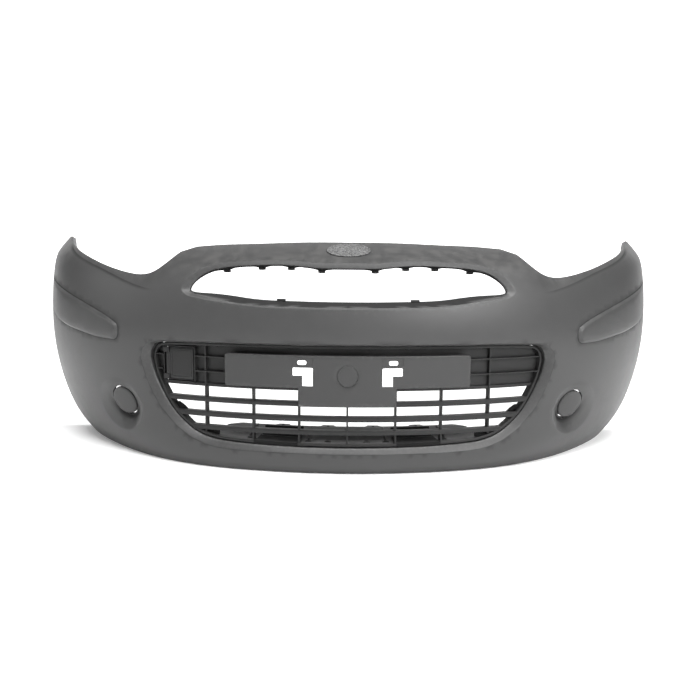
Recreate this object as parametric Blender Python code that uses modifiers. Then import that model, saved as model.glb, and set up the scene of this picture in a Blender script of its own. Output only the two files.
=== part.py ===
"""Front bumper cover of a small hatchback, with its lower grille, plate bracket, tow-eye
lid, fog-lamp blanks, badge plate, lower stiffener and fasteners.

Frame: +X is the viewer's right when the cover faces the viewer, which is the car's left. The
front faces -Y and +Z is up. The origin is on the ground, under the middle of the cover's
width and depth. Lengths are in metres.

The skin is drawn on a developed sheet. Every point has a run, its distance from the centre
line along the plan curve, and a height. The setback says how far behind the plan curve the
skin lies there.
"""
import math

import bmesh
import bpy
import numpy as np
from mathutils import Matrix, Vector
from mathutils.geometry import delaunay_2d_cdt

# Plan curve: a quarter ellipse on each side, foremost at the centre line.
HALF_WIDTH = 0.815
PLAN_DEPTH = 0.635
ORIGIN_SETBACK = 0.285
SKIN = 0.003

# Side profile at the centre line, and how it changes towards the corners.
PROFILE_HEIGHTS = (0.0, 0.04, 0.09, 0.15, 0.22, 0.30, 0.36, 0.42, 0.46, 0.50)
CHIN_SETBACK = (0.026, 0.010, 0.006, 0.004, 0.002, 0.0, 0.0, 0.0, 0.0, 0.0)
LEAN_SETBACK = (0.0, 0.0, 0.0, 0.0, 0.0, 0.0, 0.010, 0.036, 0.080, 0.170)
TUCK_SETBACK = (0.065, 0.052, 0.031, 0.014, 0.003, 0.0, 0.0, 0.0, 0.0, 0.0)
STATIONS = (0.0, 0.20, 0.38, 0.54, 0.70, 0.86, 1.05)
LEAN_SHARE = (1.0, 1.0, 0.98, 0.78, 0.50, 0.28, 0.17)
TIP_LEAN = 0.012
TUCK_SHARE = (0.0, 0.03, 0.12, 0.45, 0.80, 0.95, 1.0)

# Edge of the skin: bonnet line, lamp cut, corner tip, wing line and wheel arch.
BONNET_LINE = ((0.0, 0.498), (0.12, 0.4975), (0.25, 0.4935), (0.34, 0.491), (0.412, 0.486))
LAMP_CUT = ((0.440, 0.474), (0.449, 0.452), (0.470, 0.433), (0.503, 0.4235), (0.543, 0.4245),
            (0.615, 0.4365), (0.72, 0.4585), (0.845, 0.4855), (0.948, 0.509))
WING_LINE = ((0.962, 0.5075), (1.000, 0.492), (1.028, 0.464), (1.040, 0.426))
ARCH_CENTRE = (0.785, 0.095)
ARCH_RADIUS = 0.362
ARCH_TOP = 0.385

# Upper grille opening.
UPPER_LIP = ((0.0, 0.452), (0.060, 0.4522), (0.095, 0.4545), (0.122, 0.457), (0.172, 0.4584),
             (0.268, 0.4545), (0.325, 0.446), (0.360, 0.428), (0.381, 0.399), (0.370, 0.3835),
             (0.330, 0.374), (0.213, 0.3605), (0.10, 0.3575), (0.0, 0.357))
UPPER_THROAT = ((0.0, 0.441), (0.060, 0.4412), (0.095, 0.4435), (0.122, 0.446), (0.172, 0.4475),
                (0.264, 0.4435), (0.318, 0.4355), (0.348, 0.419), (0.363, 0.3975), (0.357, 0.3865),
                (0.322, 0.379), (0.213, 0.3645), (0.10, 0.3612), (0.0, 0.3605))
UPPER_ROLL = 0.007
UPPER_LEDGE = 0.036
UPPER_LEDGE_RISE = 0.010
UPPER_RETURN = 0.022
UPPER_END_RETURN = 0.007

# Lower intake.
INTAKE_LIP = ((0.0, 0.2850), (0.186, 0.2845), (0.335, 0.2832), (0.428, 0.2802), (0.462, 0.2715),
              (0.480, 0.2495), (0.479, 0.2240), (0.467, 0.1880), (0.443, 0.1440), (0.407, 0.1035),
              (0.368, 0.0755), (0.325, 0.0580), (0.272, 0.0495), (0.140, 0.0472), (0.0, 0.0465))
INTAKE_THROAT = ((0.0, 0.2812), (0.186, 0.2808), (0.335, 0.2795), (0.427, 0.2760),
                 (0.452, 0.2680), (0.4635, 0.2490), (0.4625, 0.2260), (0.4490, 0.1880),
                 (0.421, 0.1415), (0.393, 0.1107), (0.356, 0.0845), (0.3165, 0.0700),
                 (0.265, 0.0635), (0.140, 0.0595), (0.0, 0.0585))
WALL_STEP = 0.024
INTAKE_ROLL = 0.011
INTAKE_RETURN = 0.030
SHELF_LEDGE = 0.052

# Fog-lamp hole: a flat seat, tilted down and inboard, in a wider oval dish.
FOG_RUN = 0.557
FOG_HEIGHT = 0.130
FOG_HOLE_RADIUS = 0.0375
FOG_SEAT_DEPTH = 0.008
FOG_SEAT_SLOPE = (-0.10, -0.20)
FOG_COLLAR = 0.008
DISH_RUN = 0.569
DISH_HEIGHT = 0.1205
DISH_HALF = (0.0765, 0.0625)

# Side blade: a low raised wedge with its nose inboard.
BLADE_UPPER = ((0.5645, 0.3165), (0.586, 0.3257), (0.6255, 0.338), (0.70, 0.357), (0.83, 0.383),
               (0.96, 0.404))
BLADE_LOWER = ((0.562, 0.2735), (0.617, 0.2745), (0.684, 0.2815), (0.775, 0.292), (0.857, 0.308),
               (0.960, 0.335))
BLADE_NOSE = 0.549
BLADE_RISE = 0.007
BLADE_BEVEL = 0.011

# Crease under the lamp.
CREASE = ((0.43, 0.3885), (0.474, 0.3918), (0.5285, 0.4026), (0.6245, 0.428), (0.755, 0.4574),
          (0.877, 0.4905))
CREASE_LEAN = 0.40

# Flanges round the rest of the skin.
EDGE_RETURN = 0.012
FOOT_WIDTH = 0.026
SKIN_STEP = 0.030
KEY_DIGITS = 5

# Mounting tabs behind the bonnet line.
TAB_RUNS = (0.10, 0.30)
TAB_SIZE = (0.040, 0.034, 0.003)
TAB_HOLE_RADIUS = 0.0035

# Lower grille.
GRILLE_FRONT = 0.022
GRILLE_DEPTH = 0.016
GRILLE_GAP = 0.0020
GRILLE_FRAME = 0.006
RIB_RUNS = (0.0, 0.107, 0.211, 0.325)
RIB_THICK = 0.004
BARS = ((0.1475, 0.158), (0.1145, 0.126), (0.0855, 0.0955))
THIN_BARS = (0.2475, 0.2145)
THIN_BAR = 0.0026
SCREEN_FOOT = (0.1810, 0.1880)
SCREEN_TOP = 0.2725
SCREEN_FRONT = 0.0335
SCREEN_THICK = 0.003
SCREEN_MARGIN = 0.002
EYELET = (0.068, 0.123, 0.1885, 0.2525)
LEAST_CELL = 0.010
CELL_STEP = 0.036
SHEET_STEP = 0.05
PAD_CELL_HALF = 0.253

# Plate bracket.
PAD_HALF = 0.269
PAD_TOP = 0.260
PAD_FOOT = 0.190
PAD_TAIL_HALF = 0.105
PAD_TAIL_FOOT = 0.150
PAD_RADIUS = 0.007
PAD_FRONT = 0.006
PAD_THICK = 0.003
PAD_SKIRT = 0.011
SLOT_RUN = 0.0975
SLOT_HEIGHT = 0.245
SLOT_HALF = (0.0098, 0.0048)
ELL_RUN = (0.0740, 0.1175)
ELL_STEP = 0.0965
ELL_HEIGHTS = (0.1945, 0.2170, 0.2340)
BOSS_HEIGHT = 0.2165
BOSS_RADIUS = 0.0225
BOSS_RISE = 0.0015
POST_RADIUS = 0.0048

# Tow-eye lid.
LID_RUN = (-0.4225, -0.3550)
LID_HEIGHTS = (0.1945, 0.2620)
LID_THICK = 0.003
LID_FRONT = 0.0225
LID_GAP = 0.0010
PIN_RADIUS = 0.0015
BARREL_RADIUS = 0.0036
FIT = 0.0003
EYE_MARGIN = 0.007
LUG_TALL = 0.0095
STUB_START = 0.0155
HINGE_ROOM = 0.0045

# Stiffener behind the lower lip.
SHELF_HALF = 0.315
SHELF_FRONT = 0.0475
SHELF_LAND = 0.0660
SHELF_REAR = 0.135
SHELF_REAR_HEIGHT = 0.0800
SHELF_THICK = 0.0025
SHELF_CORNER = (0.030, 0.020)
SHELF_STEP = 0.035
TAB_HALF = 0.020
TAB_SLANT = 0.006
TAB_REACH = 0.012
SHELF_TABS = (0.183, 0.068, -0.050, -0.170)
WINDOW_RUN = 0.159
WINDOW_HALF = 0.045
WINDOW_SETBACKS = (0.077, 0.108)
RIVET_RUNS = (0.045, 0.090, 0.228)
RIVET_SETBACK = 0.056
RIVET_HOLE = 0.0038

# Fasteners.
GRILLE_SCREW_RUNS = (0.13, 0.30)
GRILLE_SCREW_SETBACK = 0.030
SCREW_SEAT = 0.0006
RIVET_SIZE = (0.0075, 0.0029, 0.013)
GRILLE_SCREW_SIZE = (0.0050, 0.0017, 0.0105)
POST_SCREW_SIZE = (0.0045, 0.0015, 0.014)
GRILLE_SCREW_HOLE = 0.0024
GRILLE_SCREW_BORE = 0.0020
POST_SCREW_BORE = 0.0018
POST_RUN = 0.205
POST_HEIGHTS = (0.206, 0.248)
FOG_BLANK_GAP = 0.0030
FOG_LEGS = 4

# Badge plate on the upper panel.
BADGE_GAP = 0.0010
BADGE_HALF = (0.054, 0.033)
BADGE_HEIGHT = 0.4785
BADGE_THICK = 0.0025

PART = "bumper_cover_assembly"


def clear_scene():
    for old in list(bpy.data.objects):
        bpy.data.objects.remove(old, do_unlink=True)


def collection(name):
    group = bpy.data.collections.new(name)
    bpy.context.scene.collection.children.link(group)
    return group


def material(name, grey, roughness):
    finish = bpy.data.materials.new(name)
    finish.use_nodes = True
    shader = finish.node_tree.nodes["Principled BSDF"]
    shader.inputs["Base Color"].default_value = (grey, grey, grey, 1.0)
    shader.inputs["Roughness"].default_value = roughness
    shader.inputs["Metallic"].default_value = 0.0
    return finish


# ---------------------------------------------------------------- curves and surfaces
def natural_spline(knots, values):
    """A natural cubic through the values, as a function of numpy arrays."""
    knots, values = np.asarray(knots, float), np.asarray(values, float)
    gap = np.diff(knots)
    count = len(knots)
    system = np.eye(count)
    right = np.zeros(count)
    slope = np.diff(values) / gap
    for i in range(1, count - 1):
        system[i, i - 1:i + 2] = gap[i - 1], 2 * (gap[i - 1] + gap[i]), gap[i]
        right[i] = 6 * (slope[i] - slope[i - 1])
    bend = np.linalg.solve(system, right)

    def at(x):
        x = np.asarray(x, float)
        i = np.clip(np.searchsorted(knots, x) - 1, 0, count - 2)
        a, b, h = (knots[i + 1] - x) / gap[i], (x - knots[i]) / gap[i], gap[i]
        curve = ((a**3 - a) * bend[i] + (b**3 - b) * bend[i + 1]) * h**2 / 6
        return a * values[i] + b * values[i + 1] + curve
    return at


CHIN = natural_spline(PROFILE_HEIGHTS, CHIN_SETBACK)
LEAN = natural_spline(PROFILE_HEIGHTS, LEAN_SETBACK)
TUCK = natural_spline(PROFILE_HEIGHTS, TUCK_SETBACK)
LEAN_AT = natural_spline(STATIONS, LEAN_SHARE)
TUCK_AT = natural_spline(STATIONS, TUCK_SHARE)
CREASE_AT = natural_spline(*zip(*CREASE))
ANGLES = np.linspace(0.0, math.pi / 2, 3001)
PLAN_X = HALF_WIDTH * np.sin(ANGLES)
PLAN_Y = PLAN_DEPTH * (1 - np.cos(ANGLES))
PLAN_RUN = np.concatenate(([0.0], np.cumsum(np.hypot(np.diff(PLAN_X), np.diff(PLAN_Y)))))


def plan(run):
    """Point of the plan curve at this run, and the level direction that leads inward."""
    angle = float(np.interp(abs(run), PLAN_RUN, ANGLES))
    side = -1.0 if run < 0 else 1.0
    depth = PLAN_DEPTH * (1 - math.cos(angle)) - ORIGIN_SETBACK
    point = Vector((side * HALF_WIDTH * math.sin(angle), depth, 0))
    inward = Vector((-side * PLAN_DEPTH * math.sin(angle), HALF_WIDTH * math.cos(angle), 0))
    return point, inward.normalized()


def behind_plan(run, height, setback):
    point, inward = plan(run)
    return point + inward * setback + Vector((0, 0, height))


def smooth_step(low, high, x):
    t = min(max((x - low) / (high - low), 0.0), 1.0)
    return t * t * (3 - 2 * t)


def fog_seat(run, height):
    """Extra setback of the fog lamp's flat seat."""
    along, up = FOG_SEAT_SLOPE
    return FOG_SEAT_DEPTH + along * (abs(run) - FOG_RUN) + up * (height - FOG_HEIGHT)


def dish_share(run, height):
    """1 at the fog-lamp hole, falling to 0 at the dish's rim."""
    out = math.hypot(run - FOG_RUN, (height - FOG_HEIGHT) * FOG_STRETCH) - FOG_HOLE_RADIUS
    rim = math.hypot((run - DISH_RUN) / DISH_HALF[0], (height - DISH_HEIGHT) / DISH_HALF[1])
    left = max(1 - rim, 0.0) * DISH_HALF[0]
    return left / (left + max(out, 0.0)) if left else 0.0


def relief(run, height):
    """Extra setback from the dish round the fog lamp, and from the crease."""
    run = abs(run)
    extra = dish_share(run, height) * fog_seat(run, height)
    above = height - float(CREASE_AT(min(max(run, 0.43), 0.877)))
    if above > 0 and run > 0.44:
        fade = smooth_step(0.44, 0.52, run) * (1 - smooth_step(0.84, 0.95, run))
        extra += CREASE_LEAN * min(above, 0.03) * fade
    return extra


def skin_setback(run, height):
    run = abs(run)
    tip = TIP_LEAN * smooth_step(0.46, 0.51, height) * smooth_step(0.60, 0.90, run)
    return float(CHIN(height) + LEAN(height) * LEAN_AT(run) + TUCK(height) * TUCK_AT(run)) + tip


FOG_STRETCH = math.hypot(1.0, FOG_SEAT_SLOPE[1] + (skin_setback(FOG_RUN, FOG_HEIGHT + 0.03)
                                                   - skin_setback(FOG_RUN, FOG_HEIGHT - 0.03)) / 0.06)


def skin_point(run, height, extra=0.0):
    return behind_plan(run, height, skin_setback(run, height) + extra)


def skin_inward(run, height):
    step = 0.002
    inner = abs(run) - step if abs(run) > step else 0.0
    side = -1.0 if run < 0 else 1.0
    along = skin_point(side * (inner + 2 * step), height) - skin_point(side * inner, height)
    up = skin_point(run, height + step) - skin_point(run, height - step)
    inward = up.cross(along) * side
    if abs(run) < 1e-6:
        inward.x = 0.0
    return inward.normalized()


def seat_frame(side):
    """Middle of the fog lamp's seat, and its inward normal."""
    step = 0.01

    def at(run, height):
        return skin_point(side * run, height, fog_seat(run, height))
    along = at(FOG_RUN + step, FOG_HEIGHT) - at(FOG_RUN - step, FOG_HEIGHT)
    up = at(FOG_RUN, FOG_HEIGHT + step) - at(FOG_RUN, FOG_HEIGHT - step)
    return at(FOG_RUN, FOG_HEIGHT), (up.cross(along) * side).normalized()


def curve_through(points, step):
    """Evenly stepped points on a smooth curve through the given ones."""
    points = [np.array(p) for p in points]
    first = points[1] * (-1, 1) if points[0][0] == 0 else 2 * points[0] - points[1]
    last = points[-2] * (-1, 1) if points[-1][0] == 0 else 2 * points[-1] - points[-2]
    frame = [first] + points + [last]
    fine = []
    for p0, p1, p2, p3 in zip(frame, frame[1:], frame[2:], frame[3:]):
        for t in np.linspace(0, 1, 24, endpoint=False):
            fine.append(0.5 * (2 * p1 + (p2 - p0) * t + (2 * p0 - 5 * p1 + 4 * p2 - p3) * t * t
                               + (3 * p1 - p0 - 3 * p2 + p3) * t**3))
    fine = np.array(fine + [points[-1]])
    run = np.concatenate(([0], np.cumsum(np.hypot(*np.diff(fine, axis=0).T))))
    count = max(2, int(round(run[-1] / step)) + 1)
    at = np.linspace(0, run[-1], count)
    return [(float(x), float(y)) for x, y in zip(np.interp(at, run, fine[:, 0]),
                                                 np.interp(at, run, fine[:, 1]))]


def inset(points, gap):
    """The same open outline moved to its right by a gap; ends on the centre line stay there."""
    moved = []
    for i, point in enumerate(points):
        before, after = points[max(i - 1, 0)], points[min(i + 1, len(points) - 1)]
        along = Vector((after[0] - before[0], after[1] - before[1])).normalized()
        if point[0] == 0:
            along = Vector((1 if i == 0 else -1, 0))
        moved.append((point[0] + along.y * gap, point[1] - along.x * gap))
    return moved


def both_sides(half):
    """A closed loop from a half outline whose ends lie on the centre line."""
    return half + [(-x, z) for x, z in reversed(half[1:-1])]


def line_between(start, end, step):
    count = max(1, int(round(math.dist(start, end) / step)))
    return [tuple(np.array(start) + (np.array(end) - start) * i / count) for i in range(count + 1)]


def box_loop(run0, run1, low, high, step):
    corners = [(run0, low), (run1, low), (run1, high), (run0, high), (run0, low)]
    loop = []
    for start, end in zip(corners, corners[1:]):
        loop += line_between(start, end, step)[:-1]
    return loop


def ring(run, height, radius_run, radius_height, count):
    turn = [2 * math.pi * i / count for i in range(count)]
    return [(run + radius_run * math.cos(a), height + radius_height * math.sin(a)) for a in turn]


def key(point):
    """A point of the sheet, rounded so that it can be looked up."""
    return (round(point[0], KEY_DIGITS), round(point[1], KEY_DIGITS))


def inside(point, loop):
    x, y = point
    hit = False
    for (x0, y0), (x1, y1) in zip(loop, loop[1:] + loop[:1]):
        if (y0 > y) != (y1 > y) and x < x0 + (y - y0) * (x1 - x0) / (y1 - y0):
            hit = not hit
    return hit


# ---------------------------------------------------------------- sheets and solids
def sheet(loop, holes, lines, step):
    """Triangulate a flat outline with holes and inner lines; returns points and triangles."""
    points, edges = [], []
    for path, closed in [(loop, True)] + [(h, True) for h in holes] + [(c, False) for c in lines]:
        start = len(points)
        points += list(path)
        edges += [(start + i, start + i + 1) for i in range(len(path) - 1)]
        if closed:
            edges.append((len(points) - 1, start))
    fixed = np.array(points)
    low, high = fixed.min(axis=0), fixed.max(axis=0)
    for j, z in enumerate(np.arange(low[1] + step / 2, high[1], step * 0.87)):
        for x in np.arange(low[0] + step * (0.5 + 0.5 * (j % 2)), high[0], step):
            clear = np.hypot(fixed[:, 0] - x, fixed[:, 1] - z).min() > 0.55 * step
            if clear and inside((x, z), loop) and not any(inside((x, z), h) for h in holes):
                points.append((float(x), float(z)))
    flat = [Vector(p) for p in points]
    verts, _, faces, _, _, _ = delaunay_2d_cdt(flat, edges, [], 0, 1e-7)
    kept = []
    for face in faces:
        middle = sum((verts[i] for i in face), Vector((0, 0))) / len(face)
        if inside(middle, loop) and not any(inside(middle, h) for h in holes):
            a, b, c = (verts[i] for i in face)
            turn = (b - a).cross(c - a)
            kept.append(tuple(face) if turn > 0 else tuple(reversed(face)))
    used = sorted({i for face in kept for i in face})
    index = {old: new for new, old in enumerate(used)}
    return [tuple(verts[i]) for i in used], [tuple(index[i] for i in f) for f in kept]


def mesh_object(name, points, faces, finish, group):
    mesh = bpy.data.meshes.new(name)
    mesh.from_pydata([tuple(p) for p in points], [], faces)
    thing = bpy.data.objects.new(name, mesh)
    group.objects.link(thing)
    if finish:
        mesh.materials.append(finish)
    return thing


def solidify(thing, thickness):
    shell = thing.modifiers.new("Thickness", "SOLIDIFY")
    shell.thickness = thickness
    shell.offset = -1.0
    shell.use_even_offset = True
    return shell


def mirror(thing):
    twin = thing.modifiers.new("Other side", "MIRROR")
    twin.use_axis = (True, False, False)
    twin.merge_threshold = 0.0001


def boolean(thing, cutter, operation):
    step = thing.modifiers.new(cutter.name, "BOOLEAN")
    step.operation = operation
    step.solver = "EXACT"
    step.object = cutter
    cutter.hide_render = True
    cutter.display_type = "WIRE"


def primitive(name, kind, group, finish=None, **sizes):
    """A closed primitive mesh object; the caller places it."""
    mesh = bpy.data.meshes.new(name)
    shape = bmesh.new()
    if kind == "box":
        bmesh.ops.create_cube(shape, size=1.0)
        bmesh.ops.scale(shape, vec=sizes["size"], verts=shape.verts)
    else:
        bmesh.ops.create_cone(shape, cap_ends=True, segments=sizes["segments"],
                              radius1=sizes["radius"], radius2=sizes.get("tip", sizes["radius"]),
                              depth=sizes["depth"])
    shape.to_mesh(mesh)
    shape.free()
    thing = bpy.data.objects.new(name, mesh)
    group.objects.link(thing)
    if finish:
        mesh.materials.append(finish)
    return thing


def turned(name, profile, segments, finish, group):
    """A solid turned about Z from a profile of (radius, height), top to bottom."""
    points = [(r, 0.0, z) for r, z in profile]
    thing = mesh_object(name, points, [], finish, group)
    shape = bmesh.new()
    verts = [shape.verts.new(p) for p in points]
    for a, b in zip(verts, verts[1:]):
        shape.edges.new((a, b))
    shape.to_mesh(thing.data)
    shape.free()
    spin = thing.modifiers.new("Turn", "SCREW")
    spin.axis = "Z"
    spin.angle = 2 * math.pi
    spin.steps = segments
    spin.render_steps = segments
    spin.use_merge_vertices = True
    spin.merge_threshold = 0.00005
    spin.use_smooth_shade = True
    return thing


def aim(thing, place, outward):
    thing.matrix_world = Matrix.Translation(place) @ outward.to_track_quat("Z", "Y").to_matrix().to_4x4()


# ---------------------------------------------------------------- the pieces
def skin_edge(step):
    """Half outline of the skin from the bonnet line down to the foot, and its flange kinds."""
    arch_low = ARCH_CENTRE[0] - math.sqrt(ARCH_RADIUS**2 - ARCH_CENTRE[1]**2)
    bonnet = curve_through(BONNET_LINE, step)
    lamp = curve_through(LAMP_CUT, step)
    wing = curve_through(WING_LINE, step)
    arch = []
    for height in np.linspace(ARCH_TOP, 0.0, int(ARCH_TOP / step)):
        depth = ARCH_CENTRE[0] - math.sqrt(ARCH_RADIUS**2 - (height - ARCH_CENTRE[1])**2)
        arch.append((float(np.interp(depth, PLAN_Y, PLAN_RUN)), float(height)))
    foot_end = float(np.interp(arch_low, PLAN_Y, PLAN_RUN))
    foot = line_between((foot_end, 0.0), (0.0, 0.0), step)[1:]
    return bonnet + lamp + wing + arch, foot


def flange_vector(run, height, throat):
    """How the skin turns back at its edge; zero where it has no flange."""
    _, inward = plan(run)
    if throat == "intake":
        ledge = 1 - smooth_step(0.060, 0.085, height)
        return inward * (INTAKE_RETURN + (SHELF_LEDGE - INTAKE_RETURN) * ledge)
    if throat == "upper":
        ledge = 1 - smooth_step(0.368, 0.392, height)
        depth = UPPER_RETURN + (UPPER_END_RETURN - UPPER_RETURN) * smooth_step(0.300, 0.345, run)
        depth += (UPPER_LEDGE - depth) * ledge
        return inward * depth + Vector((0, 0, UPPER_LEDGE_RISE * ledge))
    if throat == "fog":
        return seat_frame(1)[1] * FOG_COLLAR
    if height == 0.0:
        return inward * FOOT_WIDTH
    return skin_inward(run, height) * EDGE_RETURN


def make_cover(finish, group):
    rim, foot = skin_edge(SKIN_STEP)
    upper_lip = curve_through(UPPER_LIP, WALL_STEP)
    upper_throat = curve_through(UPPER_THROAT, WALL_STEP)
    intake_lip = curve_through(INTAKE_LIP, WALL_STEP)
    intake_throat = curve_through(INTAKE_THROAT, WALL_STEP)
    fog = ring(FOG_RUN, FOG_HEIGHT, FOG_HOLE_RADIUS, FOG_HOLE_RADIUS / FOG_STRETCH, 24)
    dish = ring(DISH_RUN, DISH_HEIGHT, DISH_HALF[0], DISH_HALF[1], 22)
    centre_chin = line_between((0.0, INTAKE_LIP[-1][1]), (0.0, 0.0), SKIN_STEP)
    loop = rim + foot[:-1] + [(0.0, 0.0)]
    loop += list(reversed(centre_chin))[1:] + list(reversed(intake_throat))
    loop += [intake_lip[0]]
    loop += line_between(intake_lip[0], upper_lip[-1], SKIN_STEP)[1:] + [upper_throat[-1]]
    loop += list(reversed(upper_throat))[1:]
    loop += [upper_lip[0]] + line_between(upper_lip[0], BONNET_LINE[0], SKIN_STEP)[1:-1]
    blade_top = curve_through(BLADE_UPPER, SKIN_STEP)
    blade_foot = curve_through(BLADE_LOWER, SKIN_STEP)
    blade = list(reversed(blade_foot)) + [(BLADE_NOSE, 0.287), (BLADE_NOSE, 0.303)] + blade_top
    crest_top = [(x + BLADE_BEVEL / 2, z - BLADE_BEVEL) for x, z in blade_top]
    crest_foot = [(x + BLADE_BEVEL / 2, z + BLADE_BEVEL) for x, z in blade_foot]
    crest = list(reversed(crest_foot)) + [(BLADE_NOSE + BLADE_BEVEL, 0.295)] + crest_top
    lines = [upper_lip, intake_lip, dish + dish[:1], blade, crest]
    flat, faces = sheet(loop, [fog], lines, SKIN_STEP)

    kinds = {}
    for path, kind in ((upper_throat, "upper"), (intake_throat, "intake"), (fog, "fog")):
        kinds.update({key(p): kind for p in path})
    raised = {key(p) for p in crest}
    points = []
    for run, height in flat:
        kind = kinds.get(key((run, height)))
        extra = relief(run, height)
        if kind == "intake":
            low = 1 - smooth_step(0.060, 0.10, height)
            high = smooth_step(0.262, 0.279, height)
            extra += INTAKE_ROLL * (1 - 0.25 * low - 0.6 * high)
        elif kind == "upper":
            extra += UPPER_ROLL * smooth_step(0.362, 0.40, height) + 0.001
        elif key((run, height)) in raised or inside((run, height), crest):
            extra -= BLADE_RISE * (1 - smooth_step(0.80, 0.98, run))
        points.append(skin_point(run, height, extra))
    cover = mesh_object("bumper_cover", points, faces, finish, group)
    shape = bmesh.new()
    shape.from_mesh(cover.data)
    shape.verts.ensure_lookup_table()
    turn_back = shape.verts.layers.float_vector.new("flange")
    for vert, (run, height) in zip(shape.verts, flat):
        vert[turn_back] = flange_vector(run, height, kinds.get(key((run, height))))
    rims = [e for e in shape.edges if e.is_boundary and max(abs(v.co.x) for v in e.verts) > 1e-6]
    grown = bmesh.ops.extrude_edge_only(shape, edges=rims)["geom"]
    for vert in grown:
        if isinstance(vert, bmesh.types.BMVert):
            vert.co += vert[turn_back]
    bmesh.ops.recalc_face_normals(shape, faces=shape.faces)
    shape.faces.ensure_lookup_table()
    bumper_face = skin_point(0.1, 0.32)
    probe = min(shape.faces, key=lambda f: (f.calc_center_median() - bumper_face).length)
    if probe.normal.y > 0:
        bmesh.ops.reverse_faces(shape, faces=shape.faces)
    shape.verts.layers.float_vector.remove(turn_back)
    shape.to_mesh(cover.data)
    shape.free()
    mirror(cover)
    solidify(cover, SKIN)
    return cover


def throat_height(run, lower):
    """Height of the intake's lower or upper wall at this run."""
    half = [p for p in INTAKE_THROAT if (p[1] < 0.09) == lower and p[0] < 0.43]
    half = sorted(half)
    return float(np.interp(abs(run), [p[0] for p in half], [p[1] for p in half]))


def drill(name, holes, group):
    """One cutter made of round rods; each is (centre, direction, radius, length)."""
    mesh = bpy.data.meshes.new(name)
    rods = bmesh.new()
    for centre, direction, radius, length in holes:
        turn = direction.to_track_quat("Z", "Y").to_matrix().to_4x4()
        bmesh.ops.create_cone(rods, cap_ends=True, segments=10, radius1=radius, radius2=radius,
                              depth=length, matrix=Matrix.Translation(centre) @ turn)
    rods.to_mesh(mesh)
    rods.free()
    cutter = bpy.data.objects.new(name, mesh)
    group.objects.link(cutter)
    return cutter


def shelf_point(run, setback):
    return behind_plan(run, shelf_height(run, setback), setback)


def bonnet_tab_places():
    """Middle of the front edge of each mounting tab."""
    for half_run in TAB_RUNS:
        for run in (-half_run, half_run):
            height = float(np.interp(half_run, *zip(*BONNET_LINE)))
            root = skin_point(run, height) + skin_inward(run, height) * (EDGE_RETURN - 0.0015)
            yield root


def rivet_places():
    """Run, seat and upward direction of each rivet on the stiffener's flat land."""
    reach = 0.010
    for half_run in RIVET_RUNS:
        for run in (-half_run, half_run):
            along = shelf_point(run + reach, RIVET_SETBACK) - shelf_point(run - reach, RIVET_SETBACK)
            back = shelf_point(run, RIVET_SETBACK + 0.002) - shelf_point(run, RIVET_SETBACK - 0.002)
            yield run, shelf_point(run, RIVET_SETBACK), along.cross(back).normalized()


def grille_screw_places():
    for run in GRILLE_SCREW_RUNS:
        for side in (-1, 1):
            height = throat_height(run, lower=False) + SKIN + SCREW_SEAT
            yield behind_plan(side * run, height, GRILLE_SCREW_SETBACK)


def pad_post_places():
    for run in (-POST_RUN, POST_RUN):
        for height in POST_HEIGHTS:
            yield run, height


def grille_outline(gap):
    """The intake's wall moved inward, facet for facet, so that the gap is even."""
    return inset(curve_through(INTAKE_THROAT, WALL_STEP), gap)


def open_cell(run0, run1, low, high, edge):
    """A grille cell between two heights, cut short where the frame comes first."""
    def limit(z):
        return min(run1, edge(z))
    if min(limit(low), limit(high)) < run0 + LEAST_CELL:
        return None
    right = [(limit(z), z) for z in np.linspace(low, high, 3)]
    foot = line_between((run0, low), right[0], CELL_STEP)
    top = line_between(right[-1], (run0, high), CELL_STEP)
    return [tuple(map(float, p)) for p in foot[:-1] + right[:-1] + top]


def flip(loop):
    return [(-x, z) for x, z in reversed(loop)]


def grille_cells():
    frame = inset(curve_through(INTAKE_THROAT, 0.008), GRILLE_GAP + GRILLE_FRAME)
    side = [p for p in frame if p[0] > 0.27 and p[1] < 0.262]
    heights, runs = zip(*sorted((z, x) for x, z in side))

    def edge(z):
        return float(np.interp(z, heights, runs))
    half_rib, half_bar = RIB_THICK / 2, THIN_BAR / 2
    tops = [SCREEN_FOOT[0]] + [bar[0] for bar in BARS]
    feet = [bar[1] for bar in BARS] + [throat_height(0.2, lower=True) + 0.012]
    cells = []
    for low, high in zip(feet, tops):
        for i, rib in enumerate(RIB_RUNS):
            outer = RIB_RUNS[i + 1] - half_rib if i + 1 < len(RIB_RUNS) else 1.0
            cell = open_cell(rib + half_rib, outer, low, high, edge)
            if cell:
                cells += [cell, flip(cell)]
    rows = [(SCREEN_FOOT[1], THIN_BARS[1] - half_bar),
            (THIN_BARS[1] + half_bar, THIN_BARS[0] - half_bar),
            (THIN_BARS[0] + half_bar, SCREEN_TOP - 0.002)]
    for low, high in rows:
        inner = open_cell(PAD_CELL_HALF + RIB_THICK, RIB_RUNS[-1] - half_rib, low, high, edge)
        cells += [inner, flip(inner), open_cell(RIB_RUNS[-1] + half_rib, 1.0, low, high, edge)]
        stub = open_cell(-LID_RUN[0] + STUB_START, 1.0, low, high, edge)
        if stub:
            cells.append(flip(stub))
    cells.append(box_loop(-PAD_CELL_HALF, PAD_CELL_HALF, SCREEN_FOOT[1], SCREEN_TOP - 0.004, CELL_STEP))
    cells.append(box_loop(LID_RUN[0] - HINGE_ROOM, LID_RUN[1] + LID_GAP, LID_HEIGHTS[0] - LID_GAP,
                          LID_HEIGHTS[1] + LID_GAP, CELL_STEP))
    return cells


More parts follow.
